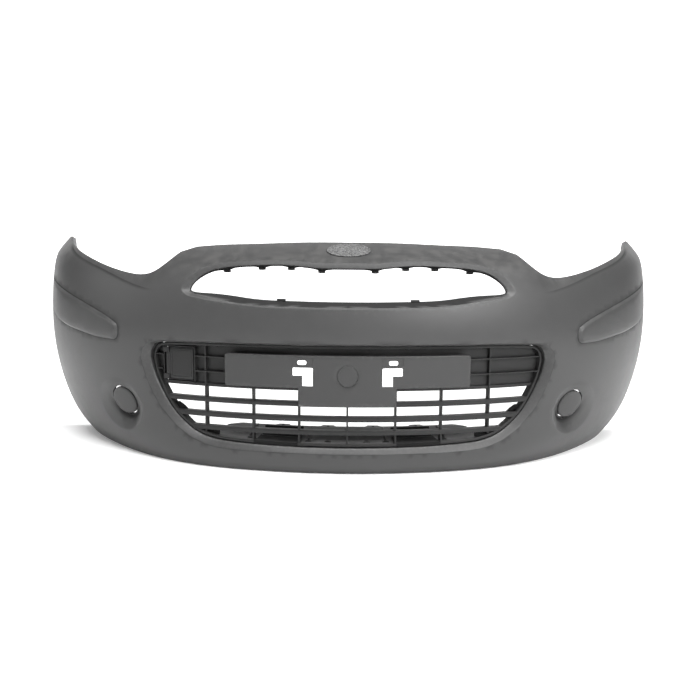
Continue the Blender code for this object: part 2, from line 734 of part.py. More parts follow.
def lid_axes():
    """Pin axis point at mid-height, and the directions inboard and inward of the lid."""
    height = sum(LID_HEIGHTS) / 2
    setback = LID_FRONT + LID_THICK / 2
    start = behind_plan(LID_RUN[0], height, setback)
    end = behind_plan(LID_RUN[1], height, setback)
    inboard = (end - start).normalized()
    return start, inboard, Vector((0, 0, 1)).cross(inboard)


def lid_frame():
    start, inboard, inward = lid_axes()
    return Matrix.Translation(start) @ Matrix((inboard, inward, (0, 0, 1))).transposed().to_4x4()


def local_box(name, low, high, frame, group, finish=None):
    size = Vector(high) - Vector(low)
    block = primitive(name, "box", group, finish, size=size)
    block.data.transform(Matrix.Translation((Vector(low) + Vector(high)) / 2))
    block.matrix_world = frame
    return block


def make_grille(finish, group, cutters):
    loop = both_sides(grille_outline(GRILLE_GAP))
    flat, faces = sheet(loop, grille_cells(), [], SHEET_STEP)
    grille = mesh_object("lower_grille", lift_each(flat, GRILLE_FRONT), faces, finish, group)
    solidify(grille, GRILLE_DEPTH)
    wall = [p for p in grille_outline(GRILLE_GAP + SCREEN_MARGIN) if p[1] > SCREEN_FOOT[1] + 0.004]
    corner = (wall[-1][0] - 0.003, SCREEN_FOOT[0] + 0.001)
    half = wall + [corner]
    base = line_between(corner, (-corner[0], corner[1]), CELL_STEP)
    loop = half + base[1:-1] + flip(half)[:-1]
    windows = [box_loop(*EYELET, 0.03)]
    windows.append(flip(windows[0]))
    windows.append(box_loop(LID_RUN[0] + EYE_MARGIN, LID_RUN[1] - EYE_MARGIN,
                            LID_HEIGHTS[0] + EYE_MARGIN, LID_HEIGHTS[1] - EYE_MARGIN, 0.03))
    windows += [ring(run, height, 0.0021, 0.0021, 8) for run, height in pad_post_places()]
    flat, faces = sheet(loop, windows, [], SHEET_STEP)
    screen = mesh_object("grille_screen", lift_each(flat, SCREEN_FRONT), faces, None, cutters)
    solidify(screen, SCREEN_THICK)
    boolean(grille, screen, "UNION")
    frame = lid_frame()
    reach = (LID_HEIGHTS[1] - LID_HEIGHTS[0]) / 2
    for name, low, high in (("upper_lug", reach - LUG_TALL, reach + 0.002),
                            ("lower_lug", -reach - 0.002, -reach + LUG_TALL)):
        lug = local_box(name, (-0.0105, -0.0034, low), (0.0042, 0.0100, high), frame, cutters)
        boolean(grille, lug, "UNION")
    start, _, _ = lid_axes()
    bores = [(start, Vector((0, 0, 1)), PIN_RADIUS + FIT, 2 * reach + 0.0086)]
    for place in grille_screw_places():
        bores.append((place - Vector((0, 0, 0.0065)), Vector((0, 0, 1)), GRILLE_SCREW_BORE, 0.0096))
    boolean(grille, drill("grille_bores", bores, cutters), "DIFFERENCE")
    return grille


def lift_each(flat, setback):
    return [behind_plan(run, height, setback) for run, height in flat]


def rounded(corners, step):
    """A loop through corners given as (run, height, radius), with straight runs cut in steps."""
    loop = []
    count = len(corners)
    marks = []
    for i, (x, z, radius) in enumerate(corners):
        here = Vector((x, z))
        back = (Vector(corners[i - 1][:2]) - here).normalized()
        ahead = (Vector(corners[(i + 1) % count][:2]) - here).normalized()
        if radius == 0:
            marks.append([here])
            continue
        centre = here + (back + ahead) * radius
        start, end = here + back * radius, here + ahead * radius
        arc = []
        for j in range(5):
            spoke = (start - centre).lerp(end - centre, j / 4).normalized() * radius
            arc.append(centre + spoke)
        marks.append(arc)
    for i, arc in enumerate(marks):
        loop += [tuple(p) for p in arc]
        after = marks[(i + 1) % count][0]
        loop += line_between(tuple(arc[-1]), tuple(after), step)[1:-1]
    return loop


def pad_openings():
    slot = rounded([(SLOT_RUN - SLOT_HALF[0], SLOT_HEIGHT + SLOT_HALF[1], 0.0045),
                    (SLOT_RUN + SLOT_HALF[0], SLOT_HEIGHT + SLOT_HALF[1], 0.0045),
                    (SLOT_RUN + SLOT_HALF[0], SLOT_HEIGHT - SLOT_HALF[1], 0.0045),
                    (SLOT_RUN - SLOT_HALF[0], SLOT_HEIGHT - SLOT_HALF[1], 0.0045)], 0.03)
    inner, outer = ELL_RUN
    foot, step, top = ELL_HEIGHTS
    ell = [(inner, foot, 0.001), (inner, top, 0.003), (outer, top, 0.003), (outer, step, 0.001),
           (ELL_STEP, step, 0.0), (ELL_STEP, foot, 0.001)]
    ell = rounded(ell, 0.03)
    return [slot, flip(slot), ell, flip(ell)]


def extrude_rim(thing, outer, vector_at):
    """Fold the sheet's outer edge back by the vector given for each vertex."""
    shape = bmesh.new()
    shape.from_mesh(thing.data)
    layer = shape.verts.layers.float_vector.new("fold")
    for vert in shape.verts:
        if vert.index in outer:
            vert[layer] = vector_at(vert.index)
    rims = [e for e in shape.edges if e.is_boundary and all(v.index in outer for v in e.verts)]
    for vert in bmesh.ops.extrude_edge_only(shape, edges=rims)["geom"]:
        if isinstance(vert, bmesh.types.BMVert):
            vert.co += vert[layer]
    bmesh.ops.recalc_face_normals(shape, faces=shape.faces)
    shape.faces.ensure_lookup_table()
    if shape.faces[0].normal.y > 0:
        bmesh.ops.reverse_faces(shape, faces=shape.faces)
    shape.verts.layers.float_vector.remove(layer)
    shape.to_mesh(thing.data)
    shape.free()


def make_bracket(finish, group, cutters):
    outline = rounded([(PAD_HALF, PAD_TOP, PAD_RADIUS), (PAD_HALF, PAD_FOOT, PAD_RADIUS),
                       (PAD_TAIL_HALF, PAD_FOOT, 0.0), (PAD_TAIL_HALF, PAD_TAIL_FOOT, 0.002),
                       (-PAD_TAIL_HALF, PAD_TAIL_FOOT, 0.002), (-PAD_TAIL_HALF, PAD_FOOT, 0.0),
                       (-PAD_HALF, PAD_FOOT, PAD_RADIUS), (-PAD_HALF, PAD_TOP, PAD_RADIUS)], 0.036)
    boss = ring(0.0, BOSS_HEIGHT, BOSS_RADIUS, BOSS_RADIUS, 20)
    crown = ring(0.0, BOSS_HEIGHT, BOSS_RADIUS - BOSS_RISE, BOSS_RADIUS - BOSS_RISE, 20)
    flat, faces = sheet(outline, pad_openings(), [boss + boss[:1], crown + crown[:1]], SHEET_STEP)
    points = []
    for run, height in flat:
        raised = math.hypot(run, height - BOSS_HEIGHT) < BOSS_RADIUS - BOSS_RISE / 2
        points.append(behind_plan(run, height, PAD_FRONT - (BOSS_RISE if raised else 0)))
    pad = mesh_object("plate_bracket", points, faces, finish, group)
    rim = {key(p) for p in outline}
    outer = {i for i, p in enumerate(flat) if key(p) in rim}
    extrude_rim(pad, outer, lambda i: plan(flat[i][0])[1] * PAD_SKIRT)
    solidify(pad, PAD_THICK)
    bores = []
    for n, (run, height) in enumerate(pad_post_places()):
        _, inward = plan(run)
        start = PAD_FRONT + 0.001
        length = SCREEN_FRONT - FIT - start
        post = primitive("pad_post_%d" % n, "rod", cutters, segments=12, radius=POST_RADIUS,
                         depth=length)
        aim(post, behind_plan(run, height, start + length / 2), inward)
        boolean(pad, post, "UNION")
        bores.append((behind_plan(run, height, SCREEN_FRONT - 0.006), inward, POST_SCREW_BORE,
                      0.016))
    boolean(pad, drill("post_bores", bores, cutters), "DIFFERENCE")
    return pad


def make_lid(finish, steel, group, cutters):
    frame = lid_frame()
    reach = (LID_HEIGHTS[1] - LID_HEIGHTS[0]) / 2
    width = math.dist(behind_plan(LID_RUN[0], 0, LID_FRONT), behind_plan(LID_RUN[1], 0, LID_FRONT))
    half = LID_THICK / 2
    lid = local_box("tow_eye_lid", (0.0056, -half, -reach), (width, half, reach), frame, group, finish)
    knuckle = reach - LUG_TALL - FIT
    web = local_box("lid_web", (0.0, -half, -knuckle), (0.0070, half, knuckle), frame, cutters)
    boolean(lid, web, "UNION")
    barrel = primitive("lid_barrel", "rod", cutters, segments=16, radius=BARREL_RADIUS,
                       depth=2 * knuckle)
    barrel.matrix_world = frame
    boolean(lid, barrel, "UNION")
    start, _, _ = lid_axes()
    bore = drill("lid_bore", [(start, Vector((0, 0, 1)), PIN_RADIUS + FIT, 0.08)], cutters)
    boolean(lid, bore, "DIFFERENCE")
    pin = primitive("lid_hinge_pin", "rod", group, steel, segments=14, radius=PIN_RADIUS,
                    depth=2 * reach + 0.008)
    pin.matrix_world = frame
    return lid, pin


def make_fog_blank(name, side, finish, group, cutters):
    place, inward = seat_frame(side)
    frame = Matrix.Translation(place) @ (-inward).to_track_quat("Z", "Y").to_matrix().to_4x4()
    radius = FOG_HOLE_RADIUS - FOG_BLANK_GAP
    profile = [(0.0, 0.0012), (radius * 0.5, 0.0010), (radius - 0.003, 0.0004), (radius, -0.0010),
               (radius, -0.0060), (radius - 0.002, -0.0060), (radius - 0.003, -0.0026),
               (0.0, -0.0022)]
    blank = turned(name, profile, 28, finish, group)
    blank.matrix_world = frame
    for n in range(FOG_LEGS):
        turn = Matrix.Rotation(2 * math.pi * (n + 0.5) / FOG_LEGS, 4, "Z")
        leg = local_box("%s_leg_%d" % (name, n), (radius - 0.0015, -0.004, -0.0125),
                        (FOG_HOLE_RADIUS - 0.0022, 0.004, -0.0025), frame @ turn, cutters)
        boolean(blank, leg, "UNION")
    return blank


def make_badge(finish, group):
    rise = (skin_point(0, BADGE_HEIGHT + 0.01) - skin_point(0, BADGE_HEIGHT - 0.01)).length / 0.02
    loop = ring(0.0, BADGE_HEIGHT, BADGE_HALF[0], BADGE_HALF[1] / rise, 28)
    flat, faces = sheet(loop, [], [], 0.02)
    lift = BADGE_THICK + BADGE_GAP
    points = [skin_point(x, z) - skin_inward(x, z) * lift for x, z in flat]
    badge = mesh_object("badge_plate", points, faces, finish, group)
    solidify(badge, BADGE_THICK)
    return badge


def shelf_height(run, setback):
    land = throat_height(run, lower=True) + SHELF_THICK + 2 * FIT
    share = smooth_step(SHELF_LAND, SHELF_REAR, setback)
    return land + (SHELF_REAR_HEIGHT - land) * share


def make_stiffener(finish, group):
    in_run, in_depth = SHELF_CORNER
    edge = [(SHELF_HALF, SHELF_REAR - in_depth), (SHELF_HALF - in_run, SHELF_REAR)]
    for centre in SHELF_TABS:
        near, far = centre + TAB_HALF, centre - TAB_HALF
        edge += [(near, SHELF_REAR), (near - TAB_SLANT, SHELF_REAR + TAB_REACH),
                 (far + TAB_SLANT, SHELF_REAR + TAB_REACH), (far, SHELF_REAR)]
    edge += [(-SHELF_HALF + in_run, SHELF_REAR), (-SHELF_HALF, SHELF_REAR - in_depth),
             (-SHELF_HALF, SHELF_FRONT), (SHELF_HALF, SHELF_FRONT)]
    loop = []
    for start, end in zip(edge, edge[1:] + edge[:1]):
        loop += line_between(start, end, SHELF_STEP)[:-1]
    holes = [ring(run, RIVET_SETBACK, 0.0036, 0.0036, 10) for run, _, _ in rivet_places()]
    near, far = WINDOW_SETBACKS
    for side in (-1, 1):
        left, right = side * WINDOW_RUN - WINDOW_HALF, side * WINDOW_RUN + WINDOW_HALF
        corners = [(left, near), (left, far), (right, far), (right, near)]
        holes.append(rounded([(run, depth, 0.003) for run, depth in corners], SHELF_STEP))
    holes += [ring(centre, SHELF_REAR + 0.001, 0.004, 0.004, 10) for centre in SHELF_TABS]
    bend = line_between((-SHELF_HALF + 0.001, SHELF_LAND), (SHELF_HALF - 0.001, SHELF_LAND), SHELF_STEP)
    flat, faces = sheet(loop, holes, [bend], 0.045)
    points = [shelf_point(run, depth) for run, depth in flat]
    shelf = mesh_object("lower_stiffener", points, faces, finish, group)
    solidify(shelf, SHELF_THICK)
    return shelf


def screw(name, place, outward, size, finish, group):
    """A pan-head screw of (head radius, shank radius, length); its head seats at the place."""
    head, shank, length = size
    profile = [(0.0, head * 0.55), (head * 0.6, head * 0.5), (head, head * 0.2), (head, 0.0),
               (shank, 0.0), (shank, -length + 0.0015), (shank * 0.3, -length), (0.0, -length)]
    piece = turned(name, profile, 12, finish, group)
    aim(piece, place, outward)
    return piece


def main():
    clear_scene()
    parts = collection(PART)
    cutters = collection("cutters")
    satin = material("Satin moulded plastic", 0.09, 0.45)
    matt = material("Matt black plastic", 0.03, 0.55)
    steel = material("Zinc plated steel", 0.55, 0.35)
    cover = make_cover(satin, parts)
    for n, root in enumerate(bonnet_tab_places(), 1):
        tab = primitive("bonnet_tab_%d" % n, "box", cutters, size=TAB_SIZE)
        tab.location = root + Vector((0, TAB_SIZE[1] / 2 - 0.002, 0))
        boolean(cover, tab, "UNION")
    drillings = [(root + Vector((0, TAB_SIZE[1] * 0.6, 0)), Vector((0, 0, 1)), TAB_HOLE_RADIUS, 0.02)
                 for root in bonnet_tab_places()]
    drillings += [(place, up, RIVET_HOLE, 0.03) for _, place, up in rivet_places()]
    drillings += [(place, Vector((0, 0, 1)), GRILLE_SCREW_HOLE, 0.012)
                  for place in grille_screw_places()]
    boolean(cover, drill("cover_drillings", drillings, cutters), "DIFFERENCE")
    make_grille(matt, parts, cutters)
    make_bracket(satin, parts, cutters)
    make_lid(matt, steel, parts, cutters)
    make_fog_blank("fog_blank_left", 1, satin, parts, cutters)
    make_fog_blank("fog_blank_right", -1, satin, parts, cutters)
    make_badge(satin, parts)
    make_stiffener(matt, parts)
    for n, (_, place, up) in enumerate(rivet_places(), 1):
        seat = place + up * 2 * FIT
        screw("shelf_rivet_%d" % n, seat, up, RIVET_SIZE, matt, parts)
    for n, place in enumerate(grille_screw_places(), 1):
        screw("grille_screw_%d" % n, place, Vector((0, 0, 1)), GRILLE_SCREW_SIZE, steel, parts)
    for n, (run, height) in enumerate(pad_post_places(), 1):
        _, inward = plan(run)
        back = behind_plan(run, height, SCREEN_FRONT + SCREEN_THICK + FIT)
        screw("bracket_screw_%d" % n, back, inward, POST_SCREW_SIZE, steel, parts)


main()
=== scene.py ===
"""Fine shapes and finishes for a small hatchback's front bumper cover and its trim.

Frame: +X is the viewer's right when the cover faces the viewer, the front faces -Y and +Z is
up. Lengths are in metres. The skin is drawn on a developed sheet: a point has a run, its
distance from the centre line along the plan curve, and a height. The setback says how far
behind the plan curve it lies.
"""
import math

import bmesh
import bpy
import numpy as np
from mathutils import Matrix, Vector
from mathutils.geometry import delaunay_2d_cdt


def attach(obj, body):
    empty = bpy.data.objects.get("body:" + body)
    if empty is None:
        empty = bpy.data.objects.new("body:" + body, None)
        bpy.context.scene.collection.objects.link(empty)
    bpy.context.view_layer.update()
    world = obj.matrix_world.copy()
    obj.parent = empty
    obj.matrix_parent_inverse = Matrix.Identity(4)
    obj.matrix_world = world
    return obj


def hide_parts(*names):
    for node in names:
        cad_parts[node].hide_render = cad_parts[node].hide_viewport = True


bl_info = {
    "name": "Bumper cover",
    "version": (1, 0, 0),
    "blender": (4, 5, 0),
    "location": "3D View > Sidebar > Bumper",
    "description": "Builds the fine shapes and finishes of a front bumper cover",
    "category": "Object",
}

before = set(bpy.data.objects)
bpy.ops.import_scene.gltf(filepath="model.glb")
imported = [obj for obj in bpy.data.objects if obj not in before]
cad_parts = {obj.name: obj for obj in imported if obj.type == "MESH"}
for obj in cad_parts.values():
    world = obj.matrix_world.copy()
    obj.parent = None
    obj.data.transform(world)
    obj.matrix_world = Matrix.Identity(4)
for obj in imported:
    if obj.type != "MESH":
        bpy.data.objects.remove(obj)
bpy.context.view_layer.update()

# ---------------------------------------------------------------- sizes shared with the frame
HALF_WIDTH = 0.815
PLAN_DEPTH = 0.635
ORIGIN_SETBACK = 0.285
PROFILE_HEIGHTS = (0.0, 0.04, 0.09, 0.15, 0.22, 0.30, 0.36, 0.42, 0.46, 0.50)
CHIN_SETBACK = (0.026, 0.010, 0.006, 0.004, 0.002, 0.0, 0.0, 0.0, 0.0, 0.0)
LEAN_SETBACK = (0.0, 0.0, 0.0, 0.0, 0.0, 0.0, 0.010, 0.036, 0.080, 0.170)
TUCK_SETBACK = (0.065, 0.052, 0.031, 0.014, 0.003, 0.0, 0.0, 0.0, 0.0, 0.0)
STATIONS = (0.0, 0.20, 0.38, 0.54, 0.70, 0.86, 1.05)
LEAN_SHARE = (1.0, 1.0, 0.98, 0.78, 0.50, 0.28, 0.17)
TIP_LEAN = 0.012
TUCK_SHARE = (0.0, 0.03, 0.12, 0.45, 0.80, 0.95, 1.0)

BONNET_LINE = ((0.0, 0.498), (0.12, 0.4975), (0.25, 0.4935), (0.34, 0.491), (0.412, 0.486))
LAMP_CUT = ((0.440, 0.474), (0.449, 0.452), (0.470, 0.433), (0.503, 0.4235), (0.543, 0.4245),
            (0.615, 0.4365), (0.72, 0.4585), (0.845, 0.4855), (0.948, 0.509))
WING_LINE = ((0.962, 0.5075), (1.000, 0.492), (1.028, 0.464), (1.040, 0.426))
ARCH_CENTRE = (0.785, 0.095)
ARCH_RADIUS = 0.362
ARCH_TOP = 0.385

UPPER_LIP = ((0.0, 0.452), (0.060, 0.4522), (0.095, 0.4545), (0.122, 0.457), (0.172, 0.4584),
             (0.268, 0.4545), (0.325, 0.446), (0.360, 0.428), (0.381, 0.399), (0.370, 0.3835),
             (0.330, 0.374), (0.213, 0.3605), (0.10, 0.3575), (0.0, 0.357))
UPPER_THROAT = ((0.0, 0.441), (0.060, 0.4412), (0.095, 0.4435), (0.122, 0.446), (0.172, 0.4475),
                (0.264, 0.4435), (0.318, 0.4355), (0.348, 0.419), (0.363, 0.3975), (0.357, 0.3865),
                (0.322, 0.379), (0.213, 0.3645), (0.10, 0.3612), (0.0, 0.3605))
UPPER_ROLL = 0.007
UPPER_LEDGE = 0.036
UPPER_LEDGE_RISE = 0.010
UPPER_RETURN = 0.022
UPPER_END_RETURN = 0.007

INTAKE_LIP = ((0.0, 0.2850), (0.186, 0.2845), (0.335, 0.2832), (0.428, 0.2802), (0.462, 0.2715),
              (0.480, 0.2495), (0.479, 0.2240), (0.467, 0.1880), (0.443, 0.1440), (0.407, 0.1035),
              (0.368, 0.0755), (0.325, 0.0580), (0.272, 0.0495), (0.140, 0.0472), (0.0, 0.0465))
INTAKE_THROAT = ((0.0, 0.2812), (0.186, 0.2808), (0.335, 0.2795), (0.427, 0.2760),
                 (0.452, 0.2680), (0.4635, 0.2490), (0.4625, 0.2260), (0.4490, 0.1880),
                 (0.421, 0.1415), (0.393, 0.1107), (0.356, 0.0845), (0.3165, 0.0700),
                 (0.265, 0.0635), (0.140, 0.0595), (0.0, 0.0585))
INTAKE_ROLL = 0.011
INTAKE_RETURN = 0.030
SHELF_LEDGE = 0.052

FOG_RUN = 0.557
FOG_HEIGHT = 0.130
FOG_HOLE_RADIUS = 0.0375
FOG_SEAT_DEPTH = 0.008
FOG_SEAT_SLOPE = (-0.10, -0.20)
FOG_COLLAR = 0.008
DISH_RUN = 0.569
DISH_HEIGHT = 0.1205
DISH_HALF = (0.0765, 0.0625)
FOG_BLANK_GAP = 0.0030

BLADE_UPPER = ((0.5645, 0.3165), (0.586, 0.3257), (0.6255, 0.338), (0.70, 0.357), (0.83, 0.383),
               (0.96, 0.404))
BLADE_LOWER = ((0.562, 0.2735), (0.617, 0.2745), (0.684, 0.2815), (0.775, 0.292), (0.857, 0.308),
               (0.960, 0.335))
BLADE_NOSE = 0.549
BLADE_TIP = ((0.5535, 0.2780), (BLADE_NOSE, 0.2870), (BLADE_NOSE, 0.3030), (0.5545, 0.3110))
BLADE_END = 0.955
BLADE_RISE = 0.007
BLADE_BEVEL = 0.0065
CREASE = ((0.43, 0.3885), (0.474, 0.3918), (0.5285, 0.4026), (0.6245, 0.428), (0.755, 0.4574),
          (0.877, 0.4905))
CREASE_LEAN = 0.46
EDGE_RETURN = 0.012
FOOT_WIDTH = 0.026
FOOT_RADIUS = 0.0012

TAB_RUNS = (0.10, 0.30)
TAB_SIZE = (0.040, 0.034, 0.003)
TAB_HOLE_RADIUS = 0.0035

GRILLE_FRONT = 0.022
GRILLE_BACK = 0.038
GRILLE_GAP = 0.0020
GRILLE_FRAME = 0.006
RIB_RUNS = (0.0, 0.107, 0.211, 0.325)
BARS = ((0.1475, 0.158), (0.1145, 0.126), (0.0855, 0.0955))
RIB_THICK = 0.0040
RIB_TOP = 0.2765
THIN_BARS = (0.2475, 0.2145)
THIN_BAR = 0.0028
EYELET = (0.068, 0.123, 0.1895, 0.2525)
SCREEN_FOOT = (0.1810, 0.1880)
SCREEN_FRONT = 0.0335
SCREEN_THICK = 0.003
PAD_CELL_HALF = 0.253

PAD_HALF = 0.269
PAD_TOP = 0.260
PAD_FOOT = 0.190
PAD_TAIL_HALF = 0.105
PAD_TAIL_FOOT = 0.150
PAD_RADIUS = 0.007
PAD_FRONT = 0.006
PAD_THICK = 0.003
PAD_SKIRT = 0.011
SLOT_RUN = 0.0975
SLOT_HEIGHT = 0.245
SLOT_HALF = (0.0098, 0.0048)
ELL_RUN = (0.0740, 0.1175)
ELL_STEP = 0.0965
ELL_HEIGHTS = (0.1945, 0.2170, 0.2340)
BOSS_HEIGHT = 0.2165
BOSS_RADIUS = 0.0225
BOSS_RISE = 0.0015

LID_RUN = (-0.4225, -0.3550)
LID_HEIGHTS = (0.1945, 0.2620)
LID_THICK = 0.003
LID_FRONT = 0.0225
PIN_RADIUS = 0.0015
BARREL_RADIUS = 0.0036
FIT = 0.0003
EYE_MARGIN = 0.007
LUG_TALL = 0.0095
STUB_START = 0.0145

SHELF_HALF = 0.315
SHELF_FRONT = 0.0475
SHELF_LAND = 0.0660
SHELF_REAR = 0.135
SHELF_REAR_HEIGHT = 0.0800
SHELF_THICK = 0.0025
SHELF_TABS = (0.183, 0.068, -0.050, -0.170)
WINDOW_RUN = 0.159
RIVET_RUNS = (0.045, 0.090, 0.228)
RIVET_SETBACK = 0.056
WINDOW_HALF = 0.045
WINDOW_SETBACKS = (0.077, 0.108)
TAB_HALF = 0.020
TAB_SLANT = 0.006
TAB_REACH = 0.012
GRILLE_SCREW_RUNS = (0.13, 0.30)
GRILLE_SCREW_SETBACK = 0.030
SCREW_SEAT = 0.0006
GRILLE_SCREW_SIZE = (0.0050, 0.0017, 0.0105)
POST_SCREW_SIZE = (0.0045, 0.0015, 0.014)
SKIN = 0.003
POST_RUN = 0.205
POST_HEIGHTS = (0.206, 0.248)

TROUGH_WIDTH = 0.014
TROUGH_DEPTH = 0.0055

POCKET_RUNS = (0.1092, 0.2088)
UPPER_WEDGE = ((0.413, 0.117), (0.424, 0.140), (0.400, 0.1408), (0.386, 0.1335), (0.374, 0.124))
LOWER_WEDGE = ((0.374, 0.0835), (0.296, 0.0845), (0.296, 0.0680), (0.316, 0.0690), (0.350, 0.0735))

BADGE_GAP = 0.0010
BADGE_HALF = (0.054, 0.033)
BADGE_HEIGHT = 0.4785
BADGE_THICK = 0.0025

# ---------------------------------------------------------------- sizes of the finer detail
CLIP_TAB_RUNS = (0.063, 0.137, 0.209, 0.296)
LEDGE_TAB_RUN = 0.150
SCALLOP_DEPTH = 0.0040
SCALLOP_WIDTH = 0.026
HANG_LEAST = 0.0030
THROAT_ROUND = 0.002
UNDER_LIP_SHADE = 0.35
INTAKE_LIP_SHADE = 0.45
INTAKE_RETURN_SHADE = 0.75
LIP_SAMPLES = 5
LIP_SHARES = (0.26, 0.38, 0.5, 0.62, 0.74, 0.84)
RIBBON_ARC = 2
FOG_SEGMENTS = 64
FOG_LEGS = 4
KEY_DIGITS = 5
LID_BORDER = 0.0042
LID_FRAME_WIDTH = 0.0016
LID_FRAME_RISE = 0.0007
SEAT_DEPTH = 0.0007
# Radius and height of each ring of a turned piece.
SCREW_BOSS = ((0.0020, 0.0004), (0.0048, 0.0004), (0.0055, 0.0), (0.0055, -0.0062),
              (0.0048, -0.0068), (0.0001, -0.0068))
RIVET_HEAD = 0.0075
RIVET = ((0.0002, 0.0026), (0.0022, 0.0028), (0.0030, 0.0030), (0.0034, 0.0022),
         (0.0038, 0.0022), (0.0042, 0.0032), (0.0058, 0.0028), (0.0070, 0.0017),
         (RIVET_HEAD, 0.0006), (RIVET_HEAD, 0.0), (0.0029, 0.0), (0.0029, -0.0105),
         (0.0018, -0.0130), (0.0002, -0.0130))
SHELF_RIB_RUNS = (-0.235, -0.092, 0.0, 0.092, 0.235)

# Gap to the line and how much painted shade the plastic gets there.
BLADE_SHADES = ((-0.0014, 0.4), (0.0, 1.0), (0.0014, 0.0))
CREASE_SHADES = ((-0.006, 0.0), (0.0, 0.7), (0.002, 0.0))
CREASE_SHADE_RUNS = (0.45, 0.877)
TROUGH_SHADES = ((0.0025, 1.0), (0.0055, 1.0), (0.0090, 0.55), (TROUGH_WIDTH, 0.0))

# ---------------------------------------------------------------- studio
PAPER_REACH = 14.0
WALL_AT = 12.0
WALL_TALL = 10.0
FLOOR_GAP = 0.0005
LIT_MIDDLE = (0.0, -0.1, 0.28)
LIGHTS = (("Key light", (2.0, -2.8, 2.2), (2.0, 1.4)),
          ("Fill light", (-2.6, -0.3, 1.2), (1.2, 1.2)),
          ("Top light", (0.1, -0.8, 2.4), (2.6, 0.5)))
SENSOR_WIDTH = 36.0
LENS_SHIFT = 0.0031


# ---------------------------------------------------------------- curves and surfaces
def natural_spline(knots, values):
    """A natural cubic through the values, as a function."""
    knots, values = np.asarray(knots, float), np.asarray(values, float)
    gap = np.diff(knots)
    count = len(knots)
    system, right = np.eye(count), np.zeros(count)
    slope = np.diff(values) / gap
    for i in range(1, count - 1):
        system[i, i - 1:i + 2] = gap[i - 1], 2 * (gap[i - 1] + gap[i]), gap[i]
        right[i] = 6 * (slope[i] - slope[i - 1])
    bend = np.linalg.solve(system, right)

    def at(x):
        i = min(max(int(np.searchsorted(knots, x)) - 1, 0), count - 2)
        a, b, h = (knots[i + 1] - x) / gap[i], (x - knots[i]) / gap[i], gap[i]
        curve = ((a**3 - a) * bend[i] + (b**3 - b) * bend[i + 1]) * h**2 / 6
        return float(a * values[i] + b * values[i + 1] + curve)
    return at


CHIN = natural_spline(PROFILE_HEIGHTS, CHIN_SETBACK)
LEAN = natural_spline(PROFILE_HEIGHTS, LEAN_SETBACK)
TUCK = natural_spline(PROFILE_HEIGHTS, TUCK_SETBACK)
LEAN_AT = natural_spline(STATIONS, LEAN_SHARE)
TUCK_AT = natural_spline(STATIONS, TUCK_SHARE)
CREASE_AT = natural_spline(*zip(*CREASE))
ANGLES = np.linspace(0.0, math.pi / 2, 3001)
PLAN_X = HALF_WIDTH * np.sin(ANGLES)
PLAN_Y = PLAN_DEPTH * (1 - np.cos(ANGLES))
PLAN_RUN = np.concatenate(([0.0], np.cumsum(np.hypot(np.diff(PLAN_X), np.diff(PLAN_Y)))))


def plan(run):
    """Point of the plan curve at this run, and the level direction that leads inward."""
    angle = float(np.interp(abs(run), PLAN_RUN, ANGLES))
    side = -1.0 if run < 0 else 1.0
    depth = PLAN_DEPTH * (1 - math.cos(angle)) - ORIGIN_SETBACK
    point = Vector((side * HALF_WIDTH * math.sin(angle), depth, 0))
    inward = Vector((-side * PLAN_DEPTH * math.sin(angle), HALF_WIDTH * math.cos(angle), 0))
    return point, inward.normalized()


def behind_plan(run, height, setback):
    """The point at this run and height, a setback behind the plan curve."""
    point, inward = plan(run)
    return point + inward * setback + Vector((0, 0, height))


def smooth_step(low, high, x):
    """0 below low, 1 above high, smooth between."""
    t = min(max((x - low) / (high - low), 0.0), 1.0)
    return t * t * (3 - 2 * t)


def hinge(x, softness):
    """Zero below nought and x above it, with a soft corner."""
    return (x + math.sqrt(x * x + softness * softness) - softness) / 2 if x > -8 * softness else 0.0


def skin_setback(run, height):
    """How far the plain skin lies behind the plan curve."""
    run = abs(run)
    tip = TIP_LEAN * smooth_step(0.46, 0.51, height) * smooth_step(0.60, 0.90, run)
    return CHIN(height) + LEAN(height) * LEAN_AT(run) + TUCK(height) * TUCK_AT(run) + tip


FOG_STRETCH = math.hypot(1.0, FOG_SEAT_SLOPE[1] + (skin_setback(FOG_RUN, FOG_HEIGHT + 0.03)
                                                   - skin_setback(FOG_RUN, FOG_HEIGHT - 0.03)) / 0.06)


def fog_seat(run, height):
    """Extra setback of the fog lamp's flat seat."""
    along, up = FOG_SEAT_SLOPE
    return FOG_SEAT_DEPTH + along * (abs(run) - FOG_RUN) + up * (height - FOG_HEIGHT)


def dish_share(run, height):
    """1 at the fog-lamp hole, falling to 0 at the dish's rim."""
    out = math.hypot(run - FOG_RUN, (height - FOG_HEIGHT) * FOG_STRETCH) - FOG_HOLE_RADIUS
    rim = math.hypot((run - DISH_RUN) / DISH_HALF[0], (height - DISH_HEIGHT) / DISH_HALF[1])
    left = hinge((1 - rim) * DISH_HALF[0], 0.0020)
    return left / (left + max(out, 0.0)) if left else 0.0


def curve_through(points, step):
    """Evenly stepped points on a smooth curve through the given ones."""
    fine = spline_samples(points, 24)
    run = np.concatenate(([0], np.cumsum(np.hypot(*np.diff(fine, axis=0).T))))
    count = max(2, int(round(run[-1] / step)) + 1)
    at = np.linspace(0, run[-1], count)
    return list(zip(np.interp(at, run, fine[:, 0]).tolist(), np.interp(at, run, fine[:, 1]).tolist()))


